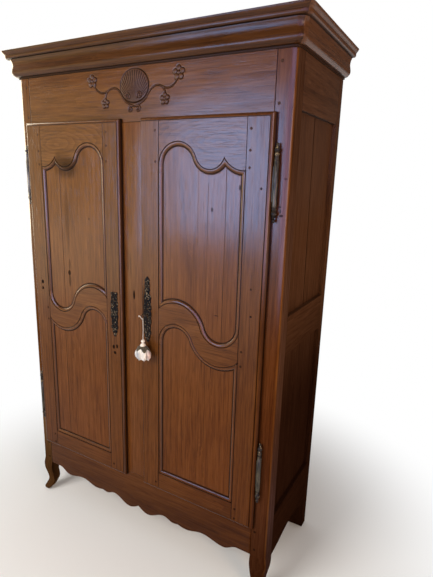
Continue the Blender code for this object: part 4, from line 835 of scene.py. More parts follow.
def make_centre_post():
    """The post between the doors, built from boards that leave the bolt's slot open."""
    low, high = case_box("centre_post")
    foot, top = SILL + GAP, HEAD - GAP
    slot_low, slot_high = BOLT_SLOT_HEIGHTS
    slot_front, slot_rear = BOLT_SLOT_DEPTHS
    inner = high.x - BOLT_SLOT_LENGTH
    bm = new_mesh()
    add_board(bm, (low.x, low.y, foot), (high.x, slot_front, top))
    around_slot = [
        ((low.x, slot_front, foot), (inner, high.y, top)),
        ((inner, slot_front, foot), (high.x, high.y, slot_low)),
        ((inner, slot_front, slot_high), (high.x, high.y, top)),
        ((inner, slot_rear, slot_low), (high.x, high.y, slot_high)),
    ]
    for first, last in around_slot:
        add_board(bm, first, last, 0.0003)
    # Painted light: the centre post is lightened where it lies in shade between the doors' lips.
    material = wood("centre_post_wood", "waxed", "Z", 3, centre=(0.06, -0.11, 1.1),
                    spots=[(-0.0074, 1.148, 0.0052, 0.019, 0.97)], shade=(1.17, 1.17, 1.22))
    dress("centre_post", bm, "case", material)


# Line between the two boards of each side panel: place at the floor, half width, strength
SIDE_PANEL_LINES = {"upper": (0.3065, 0.0042, 0.95), "lower": (0.2985, 0.0030, 0.7)}
SIDE_LINE_LEAN = 0.0387


def make_side(word, side):
    seed = 10 if side > 0 else 20
    front, rear = FRONT_POST_DEPTH + GAP, REAR_POST_FRONT - GAP
    for number, which in enumerate(("top", "mid")):
        node = "side_" + which + "_rail_" + word
        low, high = case_box(node)
        side_board(node, "Y", seed + number, ((low.x, front, low.z), (high.x, rear, high.z)),
                   (side * (HALF + 0.12), 0.05, (low.z + high.z) / 2))
    make_bottom_side_rail(word, side, seed + 3, front, rear)
    for number, (which, line) in enumerate(SIDE_PANEL_LINES.items()):
        place, half_width, strength = line
        lines = [("Y", place + CASE_SHIFT, half_width, 0.0, 3.0, strength)]
        repaint("side_" + which + "_panel_" + word, "side", "Z", seed + 4 + number, lines=lines,
                lean=SIDE_LINE_LEAN, centre=(side * (HALF + 0.10), 0.0, 1.2))
    side_board("rear_post_" + word, "Z", seed + 7)


def make_bottom_side_rail(word, side, seed, front, rear):
    bottom, top = SIDE_BOTTOM_RAIL
    steps = 28
    outline = [(front, top), (rear, top)]
    for step in range(steps + 1):
        share = step / steps
        rise = SIDE_RAIL_ARCH * sin(share * pi) ** 2
        outline.append((rear + (front - rear) * share, bottom + rise))
    bm = new_mesh()
    add_flat(bm, outline, "X", side * (HALF - SIDE_RAIL_THICKNESS), side * HALF, ARRIS)
    node = "side_bottom_rail_" + word
    material = wood(node + "_wood", "side", "Y", seed, centre=(side * (HALF + 0.12), 0.05, 0.25))
    dress(node, bm, "case", material)


def inset(outline, amount):
    """The outline moved inwards by an amount, point by point."""
    area = 0.0
    count = len(outline)
    for i in range(count):
        x0, z0 = outline[i]
        x1, z1 = outline[(i + 1) % count]
        area += x0 * z1 - x1 * z0
    turn = 1 if area > 0 else -1
    result = []
    for i in range(count):
        before, here, after = (Vector(outline[j % count]) for j in (i - 1, i, i + 1))
        first = (here - before).normalized()
        second = (after - here).normalized()
        normal_one = Vector((-first.y, first.x)) * turn
        normal_two = Vector((-second.y, second.x)) * turn
        middle = normal_one + normal_two
        if middle.length < 0.1:
            middle = normal_one
        middle.normalize()
        reach = amount / max(0.45, middle.dot(normal_one))
        result.append(tuple(here + middle * reach))
    return result


def laid(axis, place, point):
    """A point of a flat outline, at a place on the axis that the outline faces."""
    if axis == "X":
        return (place, point[0], point[1])
    if axis == "Y":
        return (point[0], place, point[1])
    return (point[0], point[1], place)


def add_flat(bm, outline, axis, start, end, arris=0.001, dirt=0.5):
    """A flat board of any outline with softened edges that carry dirt."""
    step = arris if end > start else -arris
    rings = []
    for place, drawn_in in ((start, arris * 1.8), (start, arris), (start + step * 0.3, arris * 0.3),
                            (start + step, 0.0), (end - step, 0.0), (end - step * 0.3, arris * 0.3),
                            (end, arris), (end, arris * 1.8)):
        moved = inset(outline, drawn_in) if drawn_in else outline
        rings.append([laid(axis, place, point) for point in moved])
    skin(bm, rings, [0.0, dirt * 0.5, dirt, 0.0, 0.0, dirt, dirt * 0.5, 0.0])


# Lower edge of the apron's right half: x, z, and whether it comes to a point there
APRON_WAVES = [
    (0.000, 0.155, True), (0.053, 0.133, False), (0.143, 0.165, False), (0.190, 0.151, False),
    (0.217, 0.155, True), (0.256, 0.149, False), (0.342, 0.167, False), (0.440, 0.150, False),
    (0.505, APRON_END, False),
]


def make_apron():
    """The apron: each stretch of its lower edge leaves and meets a wave's point steeply."""
    right = []
    steps = 10
    for (x0, z0, cusp0), (x1, z1, cusp1) in zip(APRON_WAVES, APRON_WAVES[1:]):
        for step in range(steps):
            share = step / steps
            if cusp0:
                rise = sin(share * pi / 2)
            elif cusp1:
                rise = 1 - cos(share * pi / 2)
            else:
                rise = (1 - cos(share * pi)) / 2
            right.append((x0 + (x1 - x0) * share, z0 + (z1 - z0) * rise))
    right.append(APRON_WAVES[-1][:2])
    right.append((POST_INNER - GAP, APRON_END))
    left = [(-x, z) for x, z in reversed(right[1:])]
    outline = left + right + [(POST_INNER - GAP, SILL), (-POST_INNER + GAP, SILL)]
    bm = new_mesh()
    add_flat(bm, outline, "Y", 0.0, FRONT_THICKNESS, ARRIS)
    material = wood("apron_wood", "waxed", "X", 31, centre=(0.1, -0.10, 0.21))
    finish_piece("apron_dressed", bm, "case", material, ("apron_rail",))


# Front post's foot: height, swell of the outside, inside drawn in, depth, rounding
FOOT_RINGS = [
    (0.000, -0.003, 0.044, 0.014, 0.006), (0.005, 0.002, 0.038, 0.016, 0.010),
    (0.014, 0.003, 0.031, 0.018, 0.014), (0.026, -0.001, 0.019, 0.023, 0.018),
    (0.043, -0.007, 0.010, 0.031, 0.021), (0.060, -0.009, 0.004, 0.039, 0.024),
    (0.077, -0.007, 0.001, 0.044, 0.026), (0.100, -0.002, 0.000, 0.042, 0.028),
    (0.125, 0.004, 0.000, 0.039, 0.030), (0.148, 0.006, 0.000, 0.043, 0.032),
    (0.168, 0.003, 0.000, 0.052, 0.030), (0.186, 0.000, 0.000, 0.058, 0.028),
]

POST_LOOKS = {
    "left": {"gleam": 0.6, "foot": (1.10, 1.70, 3.20)},
    # On the right post, shade lightens the whole post and front_shade darkens its front again: a
    # painted highlight on the rounded corner and painted shade on the front face.
    "right": {"gleam": 1.0, "foot": (1.12, 1.45, 2.20), "shade": (1.60, 1.65, 1.50),
              "front_shade": (0.50, 0.44, 0.60),
              "spots": [(0.598, 1.532, 0.006, 0.003, 0.8), (0.605, 1.504, 0.007, 0.004, 0.8),
                        (0.601, 1.518, 0.003, 0.007, 0.7), (0.612, 1.620, 0.006, 0.0025, 0.7)]},
}


def make_front_post(word, side):
    sections = [tuple(point) for point in smooth_line(FOOT_RINGS, 4)]
    sections += [(height, 0.0, 0.0, FRONT_POST_DEPTH, POST_ROUNDING) for height in (0.196, 2.010)]
    sections.append((CASE_TOP, -0.0015, 0.0015, FRONT_POST_DEPTH - 0.001, POST_ROUNDING))
    rings = []
    dirt = []
    corner_steps = 14
    for height, swell, step_in, depth, rounding in sections:
        outer = HALF + swell
        inner = POST_INNER + step_in
        points = [(inner, -swell + ARRIS, 0.8), (inner + ARRIS, -swell, 0.55),
                  (inner + 0.0022, -swell, 0.0)]
        for step in range(corner_steps + 1):
            angle = -pi / 2 + step * pi / 2 / corner_steps
            points.append((outer - rounding + rounding * cos(angle),
                           -swell + rounding + rounding * sin(angle), 0.0))
        points += [(outer, depth - 0.0022, 0.0), (outer, depth - ARRIS, 0.55),
                   (outer - ARRIS, depth, 0.8), (inner, depth, 0.0)]
        rings.append([(side * x, y, max(0.0, height)) for x, y, _ in points])
        strength = 1.0 if height > APRON_END else 0.3
        dirt.append([amount * strength for _, _, amount in points])
    bm = new_mesh()
    skin(bm, rings, dirt)
    node = "front_post_" + word
    material = wood(node + "_wood", "waxed", "Z", 40 + side, centre=(side * 0.69, 0.0, 0.9),
                    tilt=2.0, **POST_LOOKS[word])
    dress(node, bm, "case", material, 32)


# Frieze with its carving: height above the face, and dirt and painted shade in the hollows

# Shell: centre and half sizes; flowers: centre and size; all as x and z
SHELL = (0.0065, 1.9345, 0.0640, 0.0565)
SHELL_ROOT = (0.0060, 1.8660)
SHELL_RIBS = 34.0
FLOWERS = [(-0.1985, 1.9625, 0.0235), (0.2015, 1.9635, 0.0245),
           (-0.1345, 1.8800, 0.0190), (0.1425, 1.8835, 0.0205)]
PETALS = 5
CARVED_WIDTH = (-0.228, 0.234)
CARVED_HEIGHT = (1.838, 1.9965)
CARVING_STEP = 0.00115
VINES = [
    [(0.0080, 1.8640), (0.0350, 1.8745), (0.0570, 1.8880), (0.0700, 1.9060), (0.0860, 1.9215),
     (0.1080, 1.9300), (0.1290, 1.9250), (0.1420, 1.9110), (0.1435, 1.8960)],
    [(0.1330, 1.9230), (0.1530, 1.9180), (0.1760, 1.9240), (0.1920, 1.9400), (0.1990, 1.9500)],
    [(0.0040, 1.8640), (-0.0200, 1.8740), (-0.0420, 1.8890), (-0.0560, 1.9080),
     (-0.0700, 1.9250), (-0.0900, 1.9320), (-0.1120, 1.9280), (-0.1280, 1.9140),
     (-0.1345, 1.8940)],
    [(-0.1180, 1.9240), (-0.1370, 1.9180), (-0.1600, 1.9200), (-0.1800, 1.9330),
     (-0.1900, 1.9480)],
]


def scroll(centre, start_radius, direction, start, turns=1.4, steps_a_turn=16):
    """A curl that narrows as it winds, from its outer end."""
    points = []
    steps = int(turns * steps_a_turn)
    for step in range(steps + 1):
        angle = start + direction * 2 * pi * step / steps_a_turn
        radius = start_radius * (1 - 0.85 * step / steps)
        points.append((centre[0] + radius * cos(angle), centre[1] + radius * sin(angle)))
    return points


SCROLLS = [
    scroll((-0.0130, 1.8555), 0.0118, 1, 0.9),
    scroll((0.0230, 1.8555), 0.0118, -1, pi - 0.9),
    scroll((-0.0250, 1.9000), 0.0125, 1, -0.6),
    scroll((0.0320, 1.9010), 0.0135, -1, pi + 0.6),
]


def segments_of(points):
    return list(zip(points, points[1:]))


VINE_SEGMENTS = []
for vine in VINES:
    VINE_SEGMENTS += segments_of([tuple(point) for point in smooth_line(vine, 4)])
SCROLL_SEGMENTS = []
for curl in SCROLLS:
    SCROLL_SEGMENTS += segments_of(curl)


def distance_to(segments, x, z):
    best = 1.0
    for (x0, z0), (x1, z1) in segments:
        if min(abs(x - x0), abs(z - z0)) > 0.02 and abs(x - x0) + abs(z - z0) > 0.04:
            continue
        dx, dz = x1 - x0, z1 - z0
        share = ((x - x0) * dx + (z - z0) * dz) / (dx * dx + dz * dz)
        share = min(1.0, max(0.0, share))
        best = min(best, hypot(x - x0 - share * dx, z - z0 - share * dz))
    return best


def rope(distance, half_width, height, cut_width=0.0030):
    """A raised round strand with a cut on both sides: height, and dirt and painted shade."""
    if distance < half_width:
        share = distance / half_width
        return height * sqrt(1 - share ** 2), 0.15 + 0.5 * share ** 3
    away = (distance - half_width) / cut_width
    if away > 1.9:
        return 0.0, 0.0
    cut = exp(-(max(0.0, away - 0.35) / 0.45) ** 2)
    shade = exp(-(max(0.0, away - 0.60) / 0.50) ** 2)
    return -0.0013 * cut, shade


def flower_at(x, z, centre_x, centre_z, size):
    """A rosette of round petals and a boss, each in its own dark cut."""
    across, up = x - centre_x, z - centre_z
    if hypot(across, up) > size * 1.3:
        return 0.0, 0.0
    best = 0.0
    edge = 1.0
    bumps = [(0.0, 0.0, 0.25)]
    for petal in range(PETALS):
        angle = 2 * pi * petal / PETALS + 0.35
        bumps.append((0.62 * cos(angle), 0.62 * sin(angle), 0.36))
    for bump_x, bump_z, radius in bumps:
        away = hypot(across - bump_x * size, up - bump_z * size) / (radius * size)
        edge = min(edge, (away - 1) * radius * size)
        if away < 1:
            best = max(best, 0.0026 * sqrt(1 - away ** 2) + 0.0003)
    if best > 0:
        return best, max(0.42, 1.08 - best / 0.0019)
    shade = exp(-(max(0.0, edge - 0.0011) / 0.0014) ** 2)
    return -0.0010 * shade, shade


def shell_at(x, z):
    """An oval shell with ribs that spread from its root, inside a dark cut."""
    centre_x, centre_z, wide, high = SHELL
    reach = hypot((x - centre_x) / wide, (z - centre_z) / high)
    edge = (reach - 1) * min(wide, high)
    if edge > 0.008:
        return 0.0, 0.0
    if reach > 1:
        cut = exp(-(max(0.0, edge - 0.0014) / 0.0014) ** 2)
        return -0.0014 * cut, exp(-(max(0.0, edge - 0.0026) / 0.0016) ** 2)
    angle = atan2(x - SHELL_ROOT[0], z - SHELL_ROOT[1])
    spread = hypot(x - SHELL_ROOT[0], z - SHELL_ROOT[1])
    flutes = abs(cos(SHELL_RIBS * angle))
    dome = 0.0036 * sqrt(max(0.0, 1 - reach ** 4)) + 0.0006
    fade = min(1.0, max(0.0, (spread - 0.030) / 0.02))
    rim = min(1.0, max(0.0, (reach - 0.93) / 0.03))
    valley = (1 - flutes) * fade * (1 - rim)
    height = dome - 0.0019 * valley
    dirt = 0.26 + 1.25 * valley ** 0.8 + 0.35 * (1 - fade) + 0.6 * max(0.0, (reach - 0.965) / 0.035)
    return height, min(0.95, dirt)


def carving(x, z):
    """Height above the frieze's face, and dirt and painted shade from 0 to 1."""
    raised, cut, dirt = 0.0, 0.0, 0.0
    forms = [shell_at(x, z)]
    for flower in FLOWERS:
        forms.append(flower_at(x, z, *flower))
    on_shell = forms[0][0] > 0.0
    if not on_shell:
        forms.append(rope(distance_to(VINE_SEGMENTS, x, z), 0.0015, 0.0017, 0.0023))
    height, shade = rope(distance_to(SCROLL_SEGMENTS, x, z), 0.0021, 0.0020, 0.0020)
    if on_shell and (height > 0 or shade > 0.3):
        forms[0] = (forms[0][0] + max(height, -0.0012), shade)
    elif not on_shell:
        forms.append((height, shade))
    for height, shade in forms:
        if height > raised:
            raised = height
            dirt = shade
        cut = min(cut, height)
    if raised <= 0.00005:
        raised = cut
        dirt = max(shade for _, shade in forms)
    return raised, min(1.0, dirt)


def steps_between(start, end, size):
    count = max(1, round((end - start) / size))
    return [start + (end - start) * i / count for i in range(count)]


def make_frieze():
    low_x, high_x = -POST_INNER + GAP, POST_INNER - GAP
    low_z, high_z = HEAD, CASE_TOP
    columns = [low_x, low_x + ARRIS, low_x + 2 * ARRIS, -0.45, -0.34]
    columns += steps_between(*CARVED_WIDTH, CARVING_STEP) + [CARVED_WIDTH[1], 0.34, 0.45]
    columns += [high_x - 2 * ARRIS, high_x - ARRIS, high_x]
    rows = [low_z, low_z + ARRIS, low_z + 2 * ARRIS, 1.830]
    rows += steps_between(*CARVED_HEIGHT, CARVING_STEP) + [CARVED_HEIGHT[1], high_z - ARRIS, high_z]
    bm = new_mesh()
    layer = bm.verts.layers.float["dirt"]
    verts = []
    for z in rows:
        row = []
        for x in columns:
            height, shade = 0.0, 0.0
            if CARVED_WIDTH[0] <= x <= CARVED_WIDTH[1] and CARVED_HEIGHT[0] <= z <= CARVED_HEIGHT[1]:
                height, shade = carving(x, z)
            from_edge = min(x - low_x, high_x - x, z - low_z)
            if from_edge < ARRIS * 0.5:
                height, shade = -ARRIS, 0.85
            elif from_edge < ARRIS * 1.5:
                shade = 0.6
            vert = bm.verts.new((x, -height, z))
            vert[layer] = shade
            row.append(vert)
        verts.append(row)
    for below, above in zip(verts, verts[1:]):
        for i in range(len(below) - 1):
            bm.faces.new((below[i], below[i + 1], above[i + 1], above[i]))
    corners = [verts[0][0], verts[0][-1], verts[-1][-1], verts[-1][0]]
    back = [bm.verts.new((vert.co.x, FRONT_THICKNESS, vert.co.z)) for vert in corners]
    bm.faces.new([back[0], back[3], back[2], back[1]])
    bm.faces.new(verts[0] + [back[1], back[0]])
    bm.faces.new([row[-1] for row in verts] + [back[2], back[1]])
    bm.faces.new(list(reversed(verts[-1])) + [back[3], back[2]])
    bm.faces.new([row[0] for row in reversed(verts)] + [back[0], back[3]])
    material = wood("frieze_wood", "waxed", "X", 51, centre=(-0.05, -0.13, 1.90), tilt=5.0)
    finish_piece("frieze_dressed", bm, "case", material, ("frieze_rail",), 60)


# Cornice

CORNICE_BASE = 2.000
CORNICE_LAP = 0.012
CORNICE_SEAT = 0.014
CORNICE_CORNER = 0.028
CORNICE_HEIGHT = 0.105
CORNICE_STEPS = 12


def cornice_profile():
    """Projection, height, and dirt and painted shade of the moulding from its foot to its top."""
    bowl = smooth_line([(0.0130, 0.0075), (0.0200, 0.0145), (0.0238, 0.0220), (0.0242, 0.0300),
                        (0.0224, 0.0410), (0.0208, 0.0500), (0.0220, 0.0620),
                        (0.0262, 0.0738)], 4)
    cap = smooth_line([(0.0400, 0.0885), (0.0425, 0.0920), (0.0462, 0.0965), (0.0490, 0.1020)], 3)
    points = [(0.0003, 0.0000, 0.95), (0.0012, 0.0000, 0.95), (0.0038, 0.0000, 0.90),
              (0.0044, 0.0006, 0.85), (0.0044, 0.0048, 0.80), (0.0048, 0.0060, 0.90),
              (0.0085, 0.0064, 0.60)]
    points += [(point[0], point[1], 0.0) for point in bowl]
    points += [(0.0264, 0.0746, 1.0), (0.0310, 0.0750, 0.9), (0.0362, 0.0754, 0.4),
               (0.0372, 0.0760, 0.1), (0.0396, 0.0792, 0.1), (0.0400, 0.0802, 0.0),
               (0.0400, 0.0874, 0.0)]
    points += [(point[0], point[1], 0.75 if number == 0 else 0.0) for number, point in enumerate(cap)]
    points += [(0.0490, 0.1042, 0.0), (0.0482, 0.1050, 0.2), (0.0430, 0.1050, 0.0)]
    return points


def cornice_plan(projection):
    wide = HALF + projection
    rounding = CORNICE_CORNER if projection >= 0 else 0.0
    points = [(-wide, CASE_DEPTH), (-wide, 0.30), (-wide, 0.10)]
    for step in range(CORNICE_STEPS * 2 + 1):
        angle = pi + step * pi / 2 / (CORNICE_STEPS * 2)
        points.append((-wide + rounding + rounding * cos(angle),
                       -projection + rounding + rounding * sin(angle)))
    points.append((-0.25, -projection))
    return points + [(-x, y) for x, y in reversed(points)]


def make_cornice():
    section = cornice_profile()
    inner = [(-CORNICE_SEAT, CORNICE_HEIGHT, 0.0), (-CORNICE_SEAT, CORNICE_LAP + GAP, 0.0),
             (GAP, CORNICE_LAP + GAP, 0.0)]
    last = len(cornice_plan(0.0)) - 1
    mitre = 3 + CORNICE_STEPS
    runs = {"left": (0, mitre, "Y"), "front": (mitre, last - mitre, "X"),
            "right": (last - mitre, last, "Y")}
    for word, (first, final, grain) in runs.items():
        rings = []
        dirt = []
        for place in range(first, final + 1):
            ring = []
            shades = []
            at_mitre = place in (mitre, last - mitre)
            for projection, height, shade in section + inner:
                x, y = cornice_plan(projection)[place]
                if word == "front":
                    x -= GAP if x > 0 else -GAP
                elif at_mitre:
                    y += GAP
                ring.append((x, y, CORNICE_BASE + height))
                shades.append(max(shade, 0.75) if at_mitre and projection > 0.002 else shade)
            rings.append(ring)
            dirt.append(shades)
            if at_mitre:
                other = ring_at(section + inner, place + 1 if place == first else place - 1)
                near = [Vector(a) * 0.985 + Vector(b) * 0.015 for a, b in zip(ring, other)]
                position = len(rings) if place == first else -1
                rings.insert(position, near)
                dirt.insert(position, [shade for _, _, shade in section + inner])
        bm = new_mesh()
        skin(bm, rings, dirt)
        side = SIDES.get(word, 0)
        node = "cornice_" + word
        material = wood(node + "_wood", "cornice_end" if side > 0 else "cornice", grain, 60 + side,
                        centre=(side * 0.80, 0.05 if side else -0.26, 2.045), tilt=3.0)
        dress(node, bm, "case", material, 28)


def ring_at(section, place):
    ring = []
    for projection, height, _ in section:
        x, y = cornice_plan(projection)[place]
        ring.append((x, y, CORNICE_BASE + height))
    return ring


# Doors: the shaped edges of part.py, with finer sections

DOOR_PROUD = 0.024
DOOR_BACK = 0.010
DOOR_TOP = 1.822
DOOR_BOTTOM = 0.306
HINGE_EDGE = 0.574
MEETING_EDGE = {1: 0.0460, -1: 0.0546}
REBATE = 0.014
INNER_JOINT = 0.133
OUTER_JOINT = 0.483
FACE = -DOOR_PROUD
MID_RAIL = 1.045
MEETING_LIP_SHARE = 0.64
WIDE_STEPS = 26
SHORT_STEPS = 18


def arc(centre, radius, start, end, steps):
    return round_points(centre, radius, steps, start, end)


def joined(*runs):
    points = list(runs[0])
    for run in runs[1:]:
        points += run[1:]
    return points


def lower_crossing(first, first_radius, second, second_radius):
    """The lower of the two points where two circles cross."""
    across = second[0] - first[0]
    up = second[1] - first[1]
    apart = hypot(across, up)
    along_line = (apart ** 2 + first_radius ** 2 - second_radius ** 2) / (2 * apart)
    off_line = sqrt(first_radius ** 2 - along_line ** 2)
    x = first[0] + (across * along_line + up * off_line) / apart
    z = first[1] + (up * along_line - across * off_line) / apart
    return (x, z)


def top_rail_edge(offset):
    radius, dip_radius, cusp_x = 0.082, 0.058, 0.402
    arch = (INNER_JOINT + radius, DOOR_TOP - 0.084 - radius)
    dip_z = DOOR_TOP - 0.177 + dip_radius
    dip = (arch[0] + sqrt((radius + dip_radius) ** 2 - (dip_z - arch[1]) ** 2), dip_z)
    tangent = atan2(dip[1] - arch[1], dip[0] - arch[0])
    cusp_z = dip_z - sqrt(dip_radius ** 2 - (cusp_x - dip[0]) ** 2)
    shoulder_x, shoulder_z = 0.478, DOOR_TOP - 0.179
    across = shoulder_x - cusp_x
    rise = cusp_z - shoulder_z
    shoulder_radius = (across ** 2 + rise ** 2) / (2 * rise)
    shoulder = (shoulder_x, shoulder_z + shoulder_radius)
    cusp = lower_crossing(dip, dip_radius + offset, shoulder, shoulder_radius + offset)
    dip_end = atan2(cusp[1] - dip[1], cusp[0] - dip[0]) + 2 * pi
    start = atan2(cusp[1] - shoulder[1], cusp[0] - shoulder[0]) + 2 * pi
    end = 2 * pi - acos((OUTER_JOINT - offset - shoulder[0]) / (shoulder_radius + offset))
    return joined(
        [(INNER_JOINT + offset, arch[1] - 0.025), (INNER_JOINT + offset, arch[1])],
        arc(arch, radius - offset, pi, tangent, WIDE_STEPS),
        arc(dip, dip_radius + offset, tangent + pi, dip_end, SHORT_STEPS),
        arc(shoulder, shoulder_radius + offset, start, end, SHORT_STEPS),
    )


def mid_rail_top_edge(offset):
    crest_x, hollow_radius = 0.213, 0.083
    hollow = (OUTER_JOINT - hollow_radius, MID_RAIL - 0.029 + hollow_radius)
    across = hollow[0] - crest_x
    up = hollow[1] - (MID_RAIL + 0.107)
    radius = (across ** 2 + up ** 2 - hollow_radius ** 2) / (2 * (hollow_radius - up))
    crest = (crest_x, MID_RAIL + 0.107 - radius)
    tangent = atan2(hollow[1] - crest[1], hollow[0] - crest[0])
    start = acos((INNER_JOINT + offset - crest[0]) / (radius + offset))
    return joined(
        arc(crest, radius + offset, start, tangent, WIDE_STEPS),
        arc(hollow, hollow_radius - offset, tangent + pi, 2 * pi, SHORT_STEPS),
    )


def mid_rail_bottom_edge(offset):
    arch_radius, belly_x = 0.080, 0.400
    arch = (INNER_JOINT + arch_radius, MID_RAIL + 0.025 - arch_radius)
    across = belly_x - arch[0]
    up = MID_RAIL - 0.103 - arch[1]
    radius = (across ** 2 + up ** 2 - arch_radius ** 2) / (2 * (arch_radius - up))
    belly = (belly_x, MID_RAIL - 0.103 + radius)
    tangent = atan2(belly[1] - arch[1], belly[0] - arch[0])
    end = 2 * pi - acos((OUTER_JOINT - offset - belly[0]) / (radius + offset))
    return joined(
        [(INNER_JOINT + offset, arch[1] - 0.014), (INNER_JOINT + offset, arch[1])],
        arc(arch, arch_radius - offset, pi, tangent, WIDE_STEPS),
        arc(belly, radius + offset, tangent + pi, end, SHORT_STEPS),
    )


def bottom_rail_edge(offset):
    height = DOOR_BOTTOM + 0.087 + offset
    return [(INNER_JOINT + offset, height), (OUTER_JOINT - offset, height)]


# Ring by ring, from the face to the back: lip drawn in, its depth, its dirt and painted shade,
# moulding's reach, its depth, its dirt and painted shade, and how far the joint stands open
DOOR_RINGS = [
    (0.0154, 0.0000, 0.00, -0.0012, 0.0000, 0.00, 0.0018),
    (0.0143, 0.0000, 0.65, -0.0002, 0.0000, 0.75, 0.0006),
    (0.0138, 0.0018, 1.00, 0.0004, 0.0028, 1.00, 0.0),
    (0.0122, 0.0019, 0.90, 0.0019, 0.0028, 1.00, 0.0),
    (0.0108, 0.0019, 0.05, 0.0023, 0.0008, 0.25, 0.0),
    (0.0088, 0.0026, 0.00, 0.0032, 0.0001, 0.00, 0.0),
    (0.0066, 0.0038, 0.00, 0.0050, 0.0000, 0.00, 0.0),
    (0.0044, 0.0056, 0.00, 0.0077, 0.0005, 0.00, 0.0),
    (0.0025, 0.0080, 0.00, 0.0102, 0.0015, 0.00, 0.0),
    (0.0011, 0.0108, 0.00, 0.0122, 0.0028, 0.05, 0.0),
    (0.0003, 0.0138, 0.00, 0.0135, 0.0042, 0.15, 0.0),
    (0.0000, 0.0170, 0.10, 0.0142, 0.0056, 0.50, 0.0),
    (0.0000, 0.0222, 0.70, 0.0146, 0.0064, 1.00, 0.0),
    (0.0008, 0.0236, 0.90, 0.0160, 0.0067, 1.00, 0.0),
    (REBATE, 0.0236, 0.80, 0.0160, 0.0105, 0.90, 0.0),
    (REBATE, 0.0240, 0.30, 0.0070, 0.0105, 0.50, 0.0),
    (REBATE, 0.0250, 0.00, 0.0070, 0.0195, 0.50, 0.0),
    (REBATE, 0.0260, 0.00, 0.0160, 0.0195, 0.50, 0.0),
    (REBATE, 0.0334, 0.00, 0.0160, 0.0334, 0.00, 0.0),
    (REBATE + 0.0006, 0.0340, 0.20, 0.0154, 0.0340, 0.20, 0.0),
]


def run_end(edge, place, bead, shift):
    """The end of a moulded run: at the joint and at its lip, as bead points."""
    points = []
    for reach in (0.0, bead):
        x, z = edge(reach)[place]
        points.append((x + shift[0], z + shift[1], "bead"))
    return points


def bead_run(edge, bead):
    return [(x, z, "bead") for x, z in edge(bead)[1:-1]]


def lip_end(x, door_end, lip):
    inward = -1 if door_end == DOOR_TOP else 1
    return (x, door_end + inward * lip, "lip")


def kept(points, inner, outer):
    """Moulding points held a hair inside the rail's two ends."""
    return [(min(max(x, inner + 0.0003), outer - 0.0003), z, kind) for x, z, kind in points]


def moulded_side(edge, bead, open_by, rise):
    """The moulded edge of a rail from its inner end to its outer end."""
    inner, outer = INNER_JOINT + GAP + open_by, OUTER_JOINT - GAP - open_by
    start, start_lip = run_end(edge, 0, bead, (GAP + open_by, rise))
    final, final_lip = run_end(edge, -1, bead, (-GAP - open_by, rise))
    middle = [start_lip] + bead_run(edge, bead) + [final_lip]
    return [start] + kept(middle, inner, outer) + [final]


def rail_outline(edge, door_end, lip, bead, open_by):
    """Top or bottom rail: its lip, and its moulded edge between the stiles."""
    inner, outer = INNER_JOINT + GAP + open_by, OUTER_JOINT - GAP - open_by
    rise = open_by if door_end == DOOR_TOP else -open_by
    points = [lip_end(inner, door_end, lip)]
    points += moulded_side(edge, bead, open_by, rise)
    points.append(lip_end(outer, door_end, lip))
    return points


def mid_rail_outline(lip, bead, open_by):
    points = moulded_side(mid_rail_top_edge, bead, open_by, -open_by)
    points += reversed(moulded_side(mid_rail_bottom_edge, bead, open_by, open_by))
    return points


def stile_outline(joint, place, edge, lip_share, lip, bead, open_by):
    """A stile with the stretches of moulding that it carries beside the two panels. Its lip is
    as wide as the rails' lips, or a share of that, down to the rebate."""
    whole = lip >= REBATE - 0.0001 and open_by == 0
    side_lip = lip if whole else lip * lip_share
    inward = 1 if edge < joint else -1
    outer = edge + inward * side_lip
    play = 3 * GAP + open_by
    shift = -inward * open_by
    points = [(outer, DOOR_BOTTOM + lip, "lip"), (outer, DOOR_TOP - lip, "lip")]
    points.append(lip_end(joint + shift, DOOR_TOP, lip))
    points += run_end(top_rail_edge, place, bead, (shift, -play))
    points += reversed(run_end(mid_rail_top_edge, place, bead, (shift, play)))
    points += run_end(mid_rail_bottom_edge, place, bead, (shift, -play))
    points += reversed(run_end(bottom_rail_edge, place, bead, (shift, play)))
    points.append(lip_end(joint + shift, DOOR_BOTTOM, lip))
    return points


def door_member(word, side, member, outline, grain, seed, **look):
    rings = []
    dirt = []
    for lip, lip_depth, lip_dirt_and_shade, bead, bead_depth, bead_dirt_and_shade, open_by in DOOR_RINGS:
        ring = []
        shades = []
        for x, z, kind in outline(lip, bead, open_by):
            depth = lip_depth if kind == "lip" else bead_depth
            shades.append(lip_dirt_and_shade if kind == "lip" else bead_dirt_and_shade)
            ring.append((side * x, FACE + depth, z))
        rings.append(ring)
        dirt.append(shades)
    bm = new_mesh()
    skin(bm, rings, dirt)
    node = word + "_door_" + member
    material = wood(node + "_wood", "waxed", grain, seed, **look)
    dress(node, bm, word + "_door", material, 34)


# Ring by ring, from the panel's field to its back: reach from the joint, depth, dirt and painted shade
# along the panel's edge
PANEL_RINGS = [
    (0.0245, 0.0070, 0.0), (0.0205, 0.0070, 0.0), (0.0188, 0.0070, 0.45), (0.0168, 0.0071, 1.0),
    (0.0163, 0.0078, 1.0), (0.0163, 0.0109, 0.6), (0.0075, 0.0109, 0.3), (0.0075, 0.0192, 0.3),
    (0.0205, 0.0192, 0.0),
]


def make_panel(word, side, which, edges, seed, **look):
    above, below = edges
    rings = []
    for reach, depth, _ in PANEL_RINGS:
        outline = above(reach) + list(reversed(below(reach)))
        rings.append([(side * x, FACE + depth, z) for x, z in outline])
    bm = new_mesh()
    skin(bm, rings, [shade for _, _, shade in PANEL_RINGS])
    node = word + "_door_" + which + "_panel"
    material = wood(node + "_wood", "panel", "Z", seed, **look)
    dress(node, bm, word + "_door", material)


